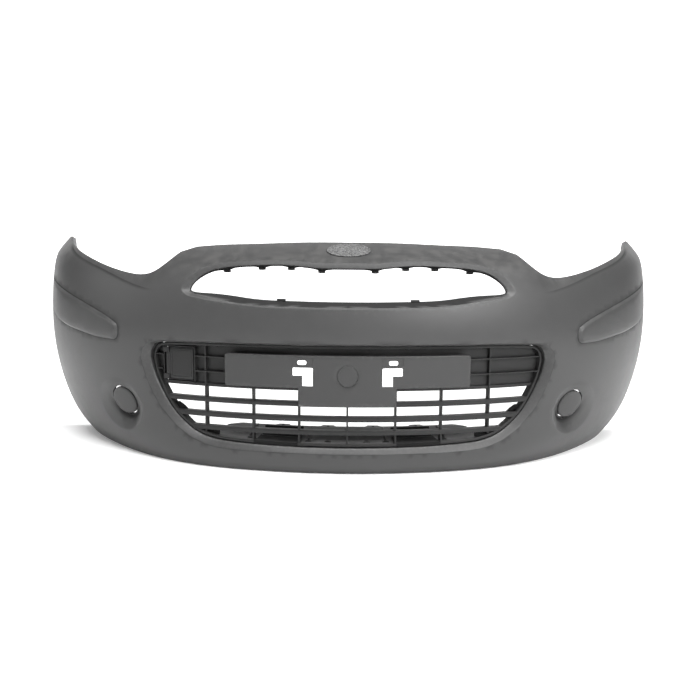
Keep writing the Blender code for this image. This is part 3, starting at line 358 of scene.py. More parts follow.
def spline_samples(points, per_span):
    """The same number of samples between each pair of points of a smooth curve."""
    points = [np.array(p, float) for p in points]
    first = points[1] * (-1, 1) if points[0][0] == 0 else 2 * points[0] - points[1]
    last = points[-2] * (-1, 1) if points[-1][0] == 0 else 2 * points[-1] - points[-2]
    frame_points = [first] + points + [last]
    fine = []
    for p0, p1, p2, p3 in zip(frame_points, frame_points[1:], frame_points[2:], frame_points[3:]):
        for t in np.linspace(0, 1, per_span, endpoint=False):
            fine.append(0.5 * (2 * p1 + (p2 - p0) * t + (2 * p0 - 5 * p1 + 4 * p2 - p3) * t * t
                               + (3 * p1 - p0 - 3 * p2 + p3) * t**3))
    return np.array(fine + [points[-1]])


def inset(points, gap):
    """The same open outline moved to its right by a gap; ends on the centre line stay there."""
    moved = []
    for i, point in enumerate(points):
        before, after = points[max(i - 1, 0)], points[min(i + 1, len(points) - 1)]
        along = Vector((after[0] - before[0], after[1] - before[1])).normalized()
        if abs(point[0]) < 1e-9:
            along = Vector((1 if i == 0 else -1, 0))
        moved.append((point[0] + along.y * gap, point[1] - along.x * gap))
    return moved


def area(loop):
    return sum(x0 * z1 - x1 * z0 for (x0, z0), (x1, z1) in zip(loop, loop[1:] + loop[:1])) / 2


def grow(loop, gap):
    """A closed loop with each side moved outward by a gap."""
    turn = 1.0 if area(loop) > 0 else -1.0
    moved = []
    for i, point in enumerate(loop):
        a, b = Vector(loop[i - 1]), Vector(loop[(i + 1) % len(loop)])
        here = Vector(point)
        back, ahead = (here - a).normalized(), (b - here).normalized()
        out = Vector((back.y + ahead.y, -back.x - ahead.x)).normalized() * turn
        share = max(0.5, Vector((back.y, -back.x)).dot(out) * turn)
        moved.append(tuple(here + out * gap / share))
    return moved


def flip(loop):
    """The same outline on the other side of the centre line."""
    return [(-x, z) for x, z in reversed(loop)]


def both_sides(half):
    """A closed loop from a half outline whose ends lie on the centre line."""
    return half + flip(half)[1:-1]


def closed_path(loop):
    return loop + loop[:1]


def line_between(start, end, step):
    count = max(1, int(round(math.dist(start, end) / step)))
    return [tuple(np.array(start) + (np.array(end) - start) * i / count) for i in range(count + 1)]


def ring(run, height, radius_run, radius_height, count):
    turn = [2 * math.pi * i / count for i in range(count)]
    return [(run + radius_run * math.cos(a), height + radius_height * math.sin(a)) for a in turn]


def rounded(corners, step, arc_steps=6):
    """A loop through corners given as (run, height, radius), with straight runs cut in steps."""
    marks = []
    count = len(corners)
    for i, (x, z, radius) in enumerate(corners):
        here = Vector((x, z))
        back = (Vector(corners[i - 1][:2]) - here).normalized()
        ahead = (Vector(corners[(i + 1) % count][:2]) - here).normalized()
        if radius == 0:
            marks.append([here])
            continue
        start, end = here + back * radius, here + ahead * radius
        arc = []
        for j in range(arc_steps + 1):
            t = j / arc_steps
            arc.append(start * (1 - t)**2 + here * 2 * t * (1 - t) + end * t * t)
        marks.append(arc)
    loop = []
    for i, arc in enumerate(marks):
        loop += [tuple(p) for p in arc]
        after = marks[(i + 1) % count][0]
        loop += line_between(tuple(arc[-1]), tuple(after), step)[1:-1]
    return loop


def box_corners(run0, run1, low, high, radius):
    return [(run0, low, radius), (run1, low, radius), (run1, high, radius), (run0, high, radius)]


def inside(points, loop):
    """Which of the points lie inside a closed loop."""
    points = np.asarray(points, float)
    hit = np.zeros(len(points), bool)
    for (x0, y0), (x1, y1) in zip(loop, loop[1:] + loop[:1]):
        if y0 == y1:
            continue
        crosses = (y0 > points[:, 1]) != (y1 > points[:, 1])
        hit ^= crosses & (points[:, 0] < x0 + (points[:, 1] - y0) * (x1 - x0) / (y1 - y0))
    return hit


def gap_to(point, path):
    """Shortest distance from a point to a path of straight pieces."""
    a, b = path[:-1], path[1:]
    along = b - a
    share = np.clip(((point - a) * along).sum(1) / (along**2).sum(1), 0, 1)
    return float(np.hypot(*(point - a - along * share[:, None]).T).min())


def blade_outline():
    top = curve_through(BLADE_UPPER, 0.008)
    foot = curve_through(BLADE_LOWER, 0.008)
    return list(reversed(foot)) + list(BLADE_TIP) + top


BLADE = blade_outline()
BLADE_PATH = np.array(BLADE)


def blade_rise(run, height):
    """How far the side blade stands proud of the skin here."""
    if run < BLADE_NOSE - 0.01 or not inside([(run, height)], BLADE)[0]:
        return 0.0
    edge = gap_to(np.array((run, height)), BLADE_PATH)
    full = hinge(edge, 0.0005) - hinge(edge - BLADE_BEVEL, 0.0012)
    return BLADE_RISE * full / BLADE_BEVEL * (1 - smooth_step(0.80, 0.98, run))


def relief(run, height):
    """Extra setback from the dish round the fog lamp, the crease and the blade."""
    run = abs(run)
    extra = dish_share(run, height) * fog_seat(run, height)
    above = height - CREASE_AT(min(max(run, CREASE[0][0]), CREASE[-1][0]))
    if above > -0.02 and run > 0.44:
        fade = smooth_step(0.44, 0.52, run) * (1 - smooth_step(0.84, 0.95, run))
        extra += CREASE_LEAN * min(hinge(above, 0.0018), 0.03) * fade
    return extra + fog_groove(run, height) - blade_rise(run, height)


def fog_groove(run, height):
    """Depth of the trough below the fog lamp."""
    out = math.hypot(run - FOG_RUN, (height - FOG_HEIGHT) * FOG_STRETCH) - FOG_HOLE_RADIUS
    if not 0.0 < out < TROUGH_WIDTH:
        return 0.0
    down = max(0.0, (FOG_HEIGHT - height) / (out + FOG_HOLE_RADIUS) + 0.35) / 1.35
    return TROUGH_DEPTH * math.sin(math.pi * (out / TROUGH_WIDTH)**0.6) * down


def skin_point(run, height, extra=0.0):
    """Point of the skin, or of a surface an extra setback behind it."""
    return behind_plan(run, height, skin_setback(run, height) + extra)


def skin_inward(run, height):
    """Unit normal of the plain skin, towards its back."""
    step = 0.002
    inner = abs(run) - step if abs(run) > step else 0.0
    side = -1.0 if run < 0 else 1.0
    along = skin_point(side * (inner + 2 * step), height) - skin_point(side * inner, height)
    up = skin_point(run, height + step) - skin_point(run, height - step)
    inward = up.cross(along) * side
    if abs(run) < 1e-6:
        inward.x = 0.0
    return inward.normalized()


def seat_frame(side):
    """Middle of the fog lamp's seat, and its inward normal."""
    step = 0.01

    def at(run, height):
        return skin_point(side * run, height, fog_seat(run, height))
    along = at(FOG_RUN + step, FOG_HEIGHT) - at(FOG_RUN - step, FOG_HEIGHT)
    up = at(FOG_RUN, FOG_HEIGHT + step) - at(FOG_RUN, FOG_HEIGHT - step)
    return at(FOG_RUN, FOG_HEIGHT), (up.cross(along) * side).normalized()


# ---------------------------------------------------------------- sheets and solids
def sheet(loop, holes, lines, step):
    """Triangles of a flat outline with holes and inner lines; returns points and triangles."""
    points, edges = [], []
    for path, closed in [(loop, True)] + [(h, True) for h in holes] + [(c, False) for c in lines]:
        start = len(points)
        points += list(path)
        edges += [(start + i, start + i + 1) for i in range(len(path) - 1)]
        if closed:
            edges.append((len(points) - 1, start))
    fixed = np.array(points)
    low, high = fixed.min(axis=0), fixed.max(axis=0)
    lattice = []
    for j, z in enumerate(np.arange(low[1] + step / 2, high[1], step * 0.87)):
        lattice += [(x, z) for x in np.arange(low[0] + step * (0.5 + 0.5 * (j % 2)), high[0], step)]
    if lattice:
        lattice = np.array(lattice)
        kept = inside(lattice, loop)
        for hole in holes:
            kept &= ~inside(lattice, hole)
        lattice = lattice[kept]
    for point in lattice:
        if np.hypot(*(fixed - point).T).min() > 0.55 * step:
            points.append((float(point[0]), float(point[1])))
    verts, _, faces, _, _, _ = delaunay_2d_cdt([Vector(p) for p in points], edges, [], 0, 1e-7)
    middles = np.array([sum((verts[i] for i in f), Vector((0, 0))) / len(f) for f in faces])
    kept = inside(middles, loop)
    for hole in holes:
        kept &= ~inside(middles, hole)
    faces = [tuple(f) for f, keep in zip(faces, kept) if keep]
    used = sorted({i for face in faces for i in face})
    index = {old: new for new, old in enumerate(used)}
    return [tuple(verts[i]) for i in used], [tuple(index[i] for i in f) for f in faces]


def bend(row_a, row_b, row_c, steps=4):
    """Rows that round the corner at row_b between row_a and row_c, both included."""
    rows = []
    for j in range(steps + 1):
        t = j / steps
        rows.append([a * (1 - t)**2 + b * 2 * t * (1 - t) + c * t * t
                     for a, b, c in zip(row_a, row_b, row_c)])
    return rows


class Shell:
    """Points and faces of one piece, with how scuffed and highlighted each point is and how much painted
    shade it gets.
    """

    def __init__(self):
        self.points, self.faces, self.wear, self.recess = [], [], [], []

    def patch(self, points, faces, recess=None):
        """A ready-made set of points and faces, with the painted shade of each point."""
        start = len(self.points)
        self.points += [Vector(p) for p in points]
        self.wear += [0.0] * len(points)
        self.recess += recess or [0.0] * len(points)
        self.faces += [tuple(start + i for i in f) for f in faces]

    def strip(self, rows, closed=False, wear=0.0, recess=0.0):
        """Quads between rows of points that lie side by side."""
        count, start = len(rows[0]), len(self.points)
        for row in rows:
            self.points += [Vector(p) for p in row]
            self.wear += [wear] * count
            self.recess += list(recess) if hasattr(recess, "__len__") else [recess] * count
        for r in range(len(rows) - 1):
            for i in range(count if closed else count - 1):
                j = (i + 1) % count
                a, b = start + r * count, start + (r + 1) * count
                self.faces.append((a + i, a + j, b + j, b + i))

    def tube(self, rings):
        """A closed solid from rings of points, with both ends filled."""
        start, count = len(self.points), len(rings[0])
        self.strip(rings, closed=True)
        last = start + (len(rings) - 1) * count
        self.faces.append(tuple(range(start, start + count)))
        self.faces.append(tuple(range(last, last + count)))

    def ribbon(self, path, width, front, back, radius, closed=False):
        """A bar along a path of (run, height), with rounded front edges."""
        rings, half = [], width / 2
        section = [(-half, back)]
        for j in range(RIBBON_ARC + 1):
            turn = math.pi / 2 * j / RIBBON_ARC
            section.append((-half + radius * (1 - math.cos(turn)),
                            front + radius * (1 - math.sin(turn))))
        section += [(-a, b) for a, b in reversed(section)]
        for i, (x, z) in enumerate(path):
            before = path[i - 1] if closed or i else path[0]
            after = path[(i + 1) % len(path)] if closed or i + 1 < len(path) else path[-1]
            along = Vector((after[0] - before[0], after[1] - before[1])).normalized()
            rings.append([behind_plan(x + along.y * a, z - along.x * a, b) for a, b in section])
        if closed:
            self.strip(rings + rings[:1], closed=True)
        else:
            self.tube(rings)

    def plate(self, loop, holes, lift, front, back, radius, step):
        """A flat-backed solid in front of a lifted plane, its front edges rounded."""
        inner = grow(loop, -radius)
        wide = [grow(hole, radius) for hole in holes]
        flat, faces = sheet(inner, wide, [], step)
        self.patch([lift(x, z, front) for x, z in flat], faces)
        for rim, edge in [(inner, loop)] + list(zip(wide, holes)):
            shoulder = [lift(x, z, front + radius) for x, z in edge]
            rows = bend([lift(x, z, front) for x, z in rim], [lift(x, z, front) for x, z in edge],
                        shoulder, 3)
            rows.append([lift(x, z, back) for x, z in edge])
            self.strip(rows, closed=True, wear=0.6)
        flat, faces = sheet(loop, holes, [], step)
        self.patch([lift(x, z, back) for x, z in flat], faces)

    def turned(self, profile, matrix, segments, star=None):
        """A solid turned about the matrix's Z axis from (radius, height) pairs. A star gives
        the rings that are pulled in, the number of its points and how deep they are cut."""
        rings = []
        for n, (radius, height) in enumerate(profile):
            row = []
            for i in range(segments):
                a = 2 * math.pi * i / segments
                pull = 1.0
                if star and n in star[0]:
                    pull = 1.0 - star[2] * (0.5 + 0.5 * math.cos(star[1] * a))
                row.append(matrix @ Vector((radius * pull * math.cos(a), radius * pull * math.sin(a),
                                            height)))
            rings.append(row)
        self.tube(rings)


def box_points(low, high, matrix, bevel):
    """A bevelled box between two corners of a local frame: rings from foot to top."""
    def loop(z, pull):
        x0, y0, x1, y1 = low[0] + pull, low[1] + pull, high[0] - pull, high[1] - pull
        c = bevel
        flat = [(x0 + c, y0), (x1 - c, y0), (x1, y0 + c), (x1, y1 - c), (x1 - c, y1), (x0 + c, y1),
                (x0, y1 - c), (x0, y0 + c)]
        return [matrix @ Vector((x, y, z)) for x, y in flat]
    return [loop(low[2], bevel), loop(low[2] + bevel, 0), loop(high[2] - bevel, 0),
            loop(high[2], bevel)]


def settle(thing, sharp_angle):
    """Apply the modifiers, then shade smooth with hard edges above an angle."""
    graph = bpy.context.evaluated_depsgraph_get()
    made = bpy.data.meshes.new_from_object(thing.evaluated_get(graph),
                                           preserve_all_data_layers=True, depsgraph=graph)
    thing.modifiers.clear()
    thing.data = made
    made.name = thing.name
    shape = bmesh.new()
    shape.from_mesh(made)
    for face in shape.faces:
        face.smooth = True
    for edge in shape.edges:
        edge.smooth = len(edge.link_faces) != 2 or edge.calc_face_angle() < sharp_angle
    shape.to_mesh(made)
    shape.free()


def make_piece(name, shell, finish, nodes=(), body="cover", thickness=0.0, mirrored=False,
               facing=None, sharp_angle=math.radians(38)):
    """One visible piece that stands for CAD nodes and moves with a body."""
    if not shell.faces:
        raise RuntimeError("piece %s has no faces" % name)
    mesh = bpy.data.meshes.new(name)
    mesh.from_pydata([tuple(p) for p in shell.points], [], shell.faces)
    shape = bmesh.new()
    shape.from_mesh(mesh)
    # Per-point attributes: scuffing with painted highlight, and painted shade.
    worn_and_lit = shape.verts.layers.float.new("wear")
    painted_shading = shape.verts.layers.float.new("recess")
    shape.verts.ensure_lookup_table()
    for vert, wear, recess in zip(shape.verts, shell.wear, shell.recess):
        vert[worn_and_lit] = wear
        vert[painted_shading] = recess
    bmesh.ops.remove_doubles(shape, verts=shape.verts, dist=0.00003)
    bmesh.ops.recalc_face_normals(shape, faces=shape.faces)
    if facing:
        probe = max(shape.faces, key=lambda f: f.calc_center_median().dot(Vector(facing)))
        if probe.normal.dot(Vector(facing)) < 0:
            bmesh.ops.reverse_faces(shape, faces=shape.faces)
    shape.to_mesh(mesh)
    shape.free()
    thing = bpy.data.objects.new(name, mesh)
    bpy.context.scene.collection.objects.link(thing)
    mesh.materials.append(finish)
    if mirrored:
        twin = thing.modifiers.new("Other side", "MIRROR")
        twin.use_axis = (True, False, False)
        twin.merge_threshold = 0.0001
    if thickness:
        wall = thing.modifiers.new("Wall", "SOLIDIFY")
        wall.thickness = thickness
        wall.offset = -1.0
    settle(thing, sharp_angle)
    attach(thing, body)
    if nodes:
        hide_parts(*nodes)
    return thing


# ---------------------------------------------------------------- finishes
class Wire:
    """A number that runs between shader nodes and takes part in ordinary sums."""

    def __init__(self, finish, socket):
        self.finish, self.socket = finish, socket

    def sum_node(self, operation, first, second):
        return self.finish.node("Math", {"operation": operation}, {0: first, 1: second})

    def __add__(self, other):
        return self.sum_node("ADD", self, other)

    def __radd__(self, other):
        return self.sum_node("ADD", other, self)

    def __sub__(self, other):
        return self.sum_node("SUBTRACT", self, other)

    def __rsub__(self, other):
        return self.sum_node("SUBTRACT", other, self)

    def __mul__(self, other):
        return self.sum_node("MULTIPLY", self, other)

    def __rmul__(self, other):
        return self.sum_node("MULTIPLY", other, self)


class Nodes:
    """A tree of shader nodes that values and wires can be fed into."""

    def __init__(self, tree):
        self.tree = tree

    def feed(self, node, socket, value):
        if isinstance(value, Wire):
            self.tree.links.new(value.socket, node.inputs[socket])
        else:
            node.inputs[socket].default_value = value

    def node(self, kind, settings=None, sockets=None, out=0):
        """Any node: its settings first, then the values or wires of its sockets."""
        made = self.tree.nodes.new("ShaderNode" + kind)
        for key, value in (settings or {}).items():
            setattr(made, key, value)
        for key, value in (sockets or {}).items():
            self.feed(made, key, value)
        return Wire(self, made.outputs[out])


class Finish(Nodes):
    """A material and the nodes that feed its shader."""

    def __init__(self, name, colour, roughness, **constants):
        self.material = bpy.data.materials.new(name)
        self.material.use_nodes = True
        super().__init__(self.material.node_tree)
        self.shader = self.tree.nodes["Principled BSDF"]
        self.feed(self.shader, "Base Color", grey(colour))
        self.feed(self.shader, "Roughness", roughness)
        for socket, value in constants.items():
            self.feed(self.shader, socket.replace("_", " "), value)
        self.place = self.node("TexCoord", out="Object")

    def noise(self, scale, detail=3.0, roughness=0.5):
        return self.node("TexNoise", None, {"Vector": self.place, "Scale": scale, "Detail": detail,
                                            "Roughness": roughness})

    def band(self, wire, low, high):
        """0 below low, 1 above high, smooth between."""
        return self.node("MapRange", {"interpolation_type": "SMOOTHSTEP"},
                         {"Value": wire, "From Min": low, "From Max": high})

    def blend(self, factor, first, second):
        """A colour between two greys."""
        return self.node("Mix", {"data_type": "RGBA"}, {"Factor": factor, 6: first, 7: second}, 2)

    def bump(self, height, strength, distance):
        lift = self.node("Bump", None, {"Height": height, "Strength": strength,
                                        "Distance": distance})
        self.feed(self.shader, "Normal", lift)


def grey(value, warmth=0.0):
    return (value * (1 + warmth), value, value * (1 - warmth), 1.0)


def moulded_plastic(name, colour, roughness, grain_scale, grain_strength, wear_and_highlight_tone=1.7):
    """Grained plastic with faint flow marks, dust that lies on top, scuffed edges that also carry
    painted highlights, and painted shade from a vertex attribute.
    """
    finish = Finish(name, colour, roughness, Specular_IOR_Level=0.32)
    cloud = finish.noise(5.0, 4.0, 0.55)
    flow = finish.noise(38.0, 3.0)
    scuff = finish.noise(160.0, 2.0)
    # Scuffed edges and painted highlight: where the vertex attribute asks, the plastic is lightened and
    # made smoother.
    worn_and_lit = finish.node("Attribute", {"attribute_name": "wear"}, out="Fac")
    mask = worn_and_lit * finish.band(scuff, 0.42, 0.66)
    up = finish.node("SeparateXYZ", None, {"Vector": finish.node("NewGeometry", out="Normal")}, "Z")
    dust = finish.band(up, 0.35, 1.0) * finish.band(flow, 0.35, 0.75) * 0.35
    tone = finish.blend(cloud * 0.6 + flow * 0.4, grey(colour * 0.90), grey(colour * 1.10))
    tone = finish.blend(mask * 0.55, tone, grey(colour * wear_and_highlight_tone))
    tone = finish.blend(dust, tone, grey(min(colour * 2.2, 0.35), 0.03))
    # Painted shade: the vertex attribute darkens the plastic almost to black in hollows, under lips,
    # along creases and below the fog lamps, and makes it rougher.
    recess = finish.node("Attribute", {"attribute_name": "recess"}, out="Fac")
    tone = finish.blend(recess * 0.9, tone, grey(colour * 0.12))
    finish.feed(finish.shader, "Base Color", tone)
    rough = roughness - 0.04 + flow * 0.08 + dust * 0.25 - mask * 0.06 + recess * 0.4
    finish.feed(finish.shader, "Roughness", rough)
    grain = finish.noise(grain_scale, 2.0, 0.6)
    finish.bump(grain, grain_strength, 0.0004)
    return finish.material


def stippled_plastic(name, colour, roughness):
    """Coarse spark-eroded texture of the badge seat, with painted shade in its pits and painted
    highlight on its peaks.
    """
    finish = Finish(name, colour, roughness)
    cells = finish.node("TexVoronoi", {"feature": "F1"}, {"Vector": finish.place, "Scale": 260.0,
                                                          "Randomness": 1.0}, "Distance")
    specks = finish.noise(330.0, 2.0)
    height = cells * 0.7 + specks * 0.6
    # Painted shade and highlight: the colour follows the stipple's height, dark in the pits and light on
    # the peaks.
    tone = finish.blend(finish.band(height, 0.35, 0.85), grey(colour * 0.30), grey(colour * 2.4))
    finish.feed(finish.shader, "Base Color", tone)
    finish.feed(finish.shader, "Roughness", roughness + specks * 0.1)
    finish.bump(height, 1.0, 0.0030)
    return finish.material


def zinc_steel(name, colour, roughness):
    """Bright zinc plating with fine handling marks."""
    finish = Finish(name, colour, roughness, Metallic=1.0)
    patch = finish.noise(90.0, 3.0)
    fine = finish.noise(900.0, 2.0)
    tone = finish.blend(patch, grey(colour * 0.75, 0.02), grey(colour * 1.15, -0.01))
    finish.feed(finish.shader, "Base Color", tone)
    finish.feed(finish.shader, "Roughness", roughness - 0.06 + patch * 0.12 + fine * 0.06)
    finish.bump(fine, 0.25, 0.0002)
    return finish.material


def studio_paper(name, colour, glow):
    """Pale paper with almost no texture, evenly lit: what the lamps miss gives off light."""
    finish = Finish(name, colour, 0.9)
    cloud = finish.noise(0.8, 2.0)
    finish.feed(finish.shader, "Base Color", finish.blend(cloud, grey(colour * 0.99), grey(colour)))
    away = finish.node("VectorMath", {"operation": "LENGTH"}, {0: finish.place}, "Value")
    finish.feed(finish.shader, "Emission Color",
                finish.blend(finish.band(away, 0.6, 1.4), grey(glow), grey(1.0)))
    finish.feed(finish.shader, "Emission Strength", 1.0)
    return finish.material


def find_finish(name, maker, *values):
    """The named material, made the first time it is asked for."""
    return bpy.data.materials.get(name) or maker(name, *values)


def shell_plastic(tones):
    return find_finish("Satin shell plastic", moulded_plastic, tones.shell_tone,
                       tones.shell_roughness, tones.grain_scale, 0.16)


def black_plastic(tones):
    return find_finish("Matt black plastic", moulded_plastic, tones.grille_tone, 0.50,
                       tones.grain_scale * 1.3, 0.22, 2.2)


# Painted shadow: near-black plastic for the sheets set where the grille's pockets lie in shade.
def painted_shadow_plastic(tones):
    return find_finish("Pocket black plastic", moulded_plastic, tones.grille_tone * 0.15, 0.85,
                       tones.grain_scale, 0.10)


def pad_plastic(tones):
    return find_finish("Plate pad plastic", moulded_plastic, tones.pad_tone, 0.44,
                       tones.grain_scale, 0.18)


def shelf_plastic(tones):
    return find_finish("Stiffener plastic", moulded_plastic, tones.stiffener_tone, 0.55,
                       tones.grain_scale, 0.20)


def plated_steel(tones):
    return find_finish("Zinc plated steel", zinc_steel, tones.steel_tone, 0.34)


# ---------------------------------------------------------------- user settings
class BumperSizes(bpy.types.PropertyGroup):
    """Sizes a user may want to change."""

    skin_step: bpy.props.FloatProperty(
        name="Skin mesh step", description="Spacing of the skin's points",
        default=0.011, min=0.006, max=0.05, unit="LENGTH")
    wall: bpy.props.FloatProperty(
        name="Wall", description="Thickness of the cover's wall",
        default=0.0026, min=0.001, max=0.003, unit="LENGTH")
    edge_radius: bpy.props.FloatProperty(
        name="Edge radius", description="Rounding of the cover's outer edge",
        default=0.0016, min=0.001, max=0.004, unit="LENGTH")
    lip_radius: bpy.props.FloatProperty(
        name="Lip radius", description="Rounding of the lips of both openings",
        default=0.0011, min=0.0005, max=0.004, unit="LENGTH")
    bar_radius: bpy.props.FloatProperty(
        name="Bar radius", description="Rounding of the grille bars",
        default=0.0012, min=0.0002, max=0.003, unit="LENGTH")
    clip_tab_width: bpy.props.FloatProperty(
        name="Clip tab width", description="Width of a clip tab in the upper opening",
        default=0.017, min=0.005, max=0.03, unit="LENGTH")


class BumperTones(bpy.types.PropertyGroup):
    """Tones and textures a user may want to change."""

    shell_tone: bpy.props.FloatProperty(
        name="Shell", description="Reflectance of the cover's plastic",
        default=0.043, min=0.01, max=0.9, subtype="FACTOR")
    shell_roughness: bpy.props.FloatProperty(
        name="Shell roughness", description="Roughness of the cover's plastic",
        default=0.42, min=0.1, max=1.0, subtype="FACTOR")
    grille_tone: bpy.props.FloatProperty(
        name="Grille", description="Reflectance of the grille's plastic",
        default=0.014, min=0.005, max=0.9, subtype="FACTOR")
    pad_tone: bpy.props.FloatProperty(
        name="Plate pad", description="Reflectance of the plate pad's plastic",
        default=0.036, min=0.01, max=0.9, subtype="FACTOR")
    stiffener_tone: bpy.props.FloatProperty(
        name="Stiffener", description="Reflectance of the stiffener's plastic",
        default=0.043, min=0.01, max=0.9, subtype="FACTOR")
    badge_tone: bpy.props.FloatProperty(
        name="Badge plate", description="Reflectance of the badge plate",
        default=0.055, min=0.01, max=0.9, subtype="FACTOR")
    steel_tone: bpy.props.FloatProperty(
        name="Steel", description="Reflectance of the zinc plating",
        default=0.50, min=0.1, max=0.95, subtype="FACTOR")
    grain_scale: bpy.props.FloatProperty(
        name="Grain scale", description="Grains in each metre of moulded plastic",
        default=1100.0, min=100.0, max=5000.0)


class BumperStudio(bpy.types.PropertyGroup):
    """The camera, the lights and the floor."""

    floor_tone: bpy.props.FloatProperty(
        name="Floor", description="Reflectance of the floor", default=0.92, min=0.1, max=1.0,
        subtype="FACTOR")
    floor_glow: bpy.props.FloatProperty(
        name="Floor glow", description="Light that the floor gives off by the object",
        default=0.16, min=0.0, max=3.0)
    lens: bpy.props.FloatProperty(
        name="Lens", description="Focal length on a 36 mm sensor", default=40.99, min=15, max=200,
        unit="CAMERA")
    eye_distance: bpy.props.FloatProperty(
        name="Eye distance", description="Camera's distance in front of the origin",
        default=1.935, min=0.5, max=10, unit="LENGTH")
    eye_height: bpy.props.FloatProperty(
        name="Eye height", description="Camera's height above the floor", default=0.4915,
        min=0.0, max=5, unit="LENGTH")
    pitch: bpy.props.FloatProperty(
        name="Pitch", description="How far the camera looks down",
        default=math.radians(7.505), unit="ROTATION")
    roll: bpy.props.FloatProperty(
        name="Roll", description="How far the camera is turned about its own axis",
        default=math.radians(0.5), unit="ROTATION")
    key_power: bpy.props.FloatProperty(
        name="Key light", description="Power of the large light up at the front, in watts",
        default=140.0, min=0.0, max=1000.0)
    fill_power: bpy.props.FloatProperty(
        name="Fill light", description="Power of the low light at the left, in watts",
        default=9.0, min=0.0, max=1000.0)
    top_power: bpy.props.FloatProperty(
        name="Top light", description="Power of the light overhead, in watts",
        default=100.0, min=0.0, max=1000.0)
    sky: bpy.props.FloatProperty(
        name="Surround", description="Brightness of the white surround",
        default=0.05, min=0.0, max=5.0)


# ---------------------------------------------------------------- the cover
def outer_outline(step):
    """Half outline of the skin from the bonnet line round the arch and back along the foot."""
    outline = curve_through(BONNET_LINE, step) + curve_through(LAMP_CUT, step)
    outline += curve_through(WING_LINE, step)
    for height in np.linspace(ARCH_TOP, 0.0, int(ARCH_TOP / step)):
        depth = ARCH_CENTRE[0] - math.sqrt(ARCH_RADIUS**2 - (height - ARCH_CENTRE[1])**2)
        outline.append((float(np.interp(depth, PLAN_Y, PLAN_RUN)), float(height)))
    return outline + line_between(outline[-1], (0.0, 0.0), step)[1:]


def edge_inward(run, height):
    """Direction in which the outer edge turns back: level at the foot, square elsewhere."""
    share = smooth_step(0.002, 0.014, height)
    return (plan(run)[1] * (1 - share) + skin_inward(run, height) * share).normalized()


def on_skin(path):
    """Points of the finished skin along a path of (run, height)."""
    return [skin_point(x, z, relief(x, z)) for x, z in path]


def moved(row, directions, depth):
    """Each point of a row moved along its own direction, by one depth or by its own."""
    depths = depth if hasattr(depth, "__len__") else [depth] * len(row)
    return [p + d * s for p, d, s in zip(row, directions, depths)]


def upper_roll(height, share):
    """Setback of the upper lip's chamfer, from 0 at the lip to 1 at the throat."""
    return (UPPER_ROLL * smooth_step(0.362, 0.40, height) + 0.001) * share


def intake_roll(height, share):
    """Setback of the intake's chamfer, less along its top."""
    low = 1 - smooth_step(0.060, 0.10, height)
    high = smooth_step(0.262, 0.279, height)
    return INTAKE_ROLL * (1.25 - 0.25 * low - 0.6 * high) * share


def lip_rows(lip, throat, roll, radius):
    """Rows from the skin over the lip and down the chamfer to the throat."""
    outer = inset(lip, -radius)

    def row(share):
        path = [tuple(np.array(a) + (np.array(b) - a) * share) for a, b in zip(lip, throat)]
        return [skin_point(x, z, relief(x, z) + roll(z, share)) for x, z in path]
    rows = bend(on_skin(outer), on_skin(lip), row(0.14), 4)
    rows += [row(share) for share in LIP_SHARES]
    return outer, rows, row(LIP_SHARES[-1]), row(1.0)


def hang(run):
    """How far the flange behind the upper lip hangs down, deeper at each clip tab."""
    near = max(math.exp(-((abs(run) - tab) / SCALLOP_WIDTH * 2)**2) for tab in CLIP_TAB_RUNS)
    return HANG_LEAST + SCALLOP_DEPTH * near


def key(point):
    """A point of the sheet, rounded so that it can be looked up."""
    return round(float(point[0]), KEY_DIGITS), round(float(point[1]), KEY_DIGITS)


def painted_shade_lines():
    """Lines of the sheet along the blade's foot, the crease and the fog lamp's trough, with
    how much painted shade each of their points gets."""
    lines = []
    for gap, shade in BLADE_SHADES:
        path = [p for p in inset(BLADE, gap) if p[0] < BLADE_END]
        lines.append((path, [shade] * len(path)))
    for gap, shade in CREASE_SHADES:
        path = [(float(x), CREASE_AT(x) + gap) for x in np.linspace(*CREASE_SHADE_RUNS, 56)]
        fade = [smooth_step(0.45, 0.50, x) * (1 - smooth_step(0.82, 0.877, x)) for x, _ in path]
        lines.append((path, [shade * share for share in fade]))
    for reach, shade in TROUGH_SHADES:
        around = FOG_HOLE_RADIUS + reach
        path = closed_path(ring(FOG_RUN, FOG_HEIGHT, around, around / FOG_STRETCH, FOG_SEGMENTS))
        down = [smooth_step(-0.2, 0.9, (FOG_HEIGHT - z) / FOG_HOLE_RADIUS) for _, z in path]
        lines.append((path, [shade * share for share in down]))
    return lines


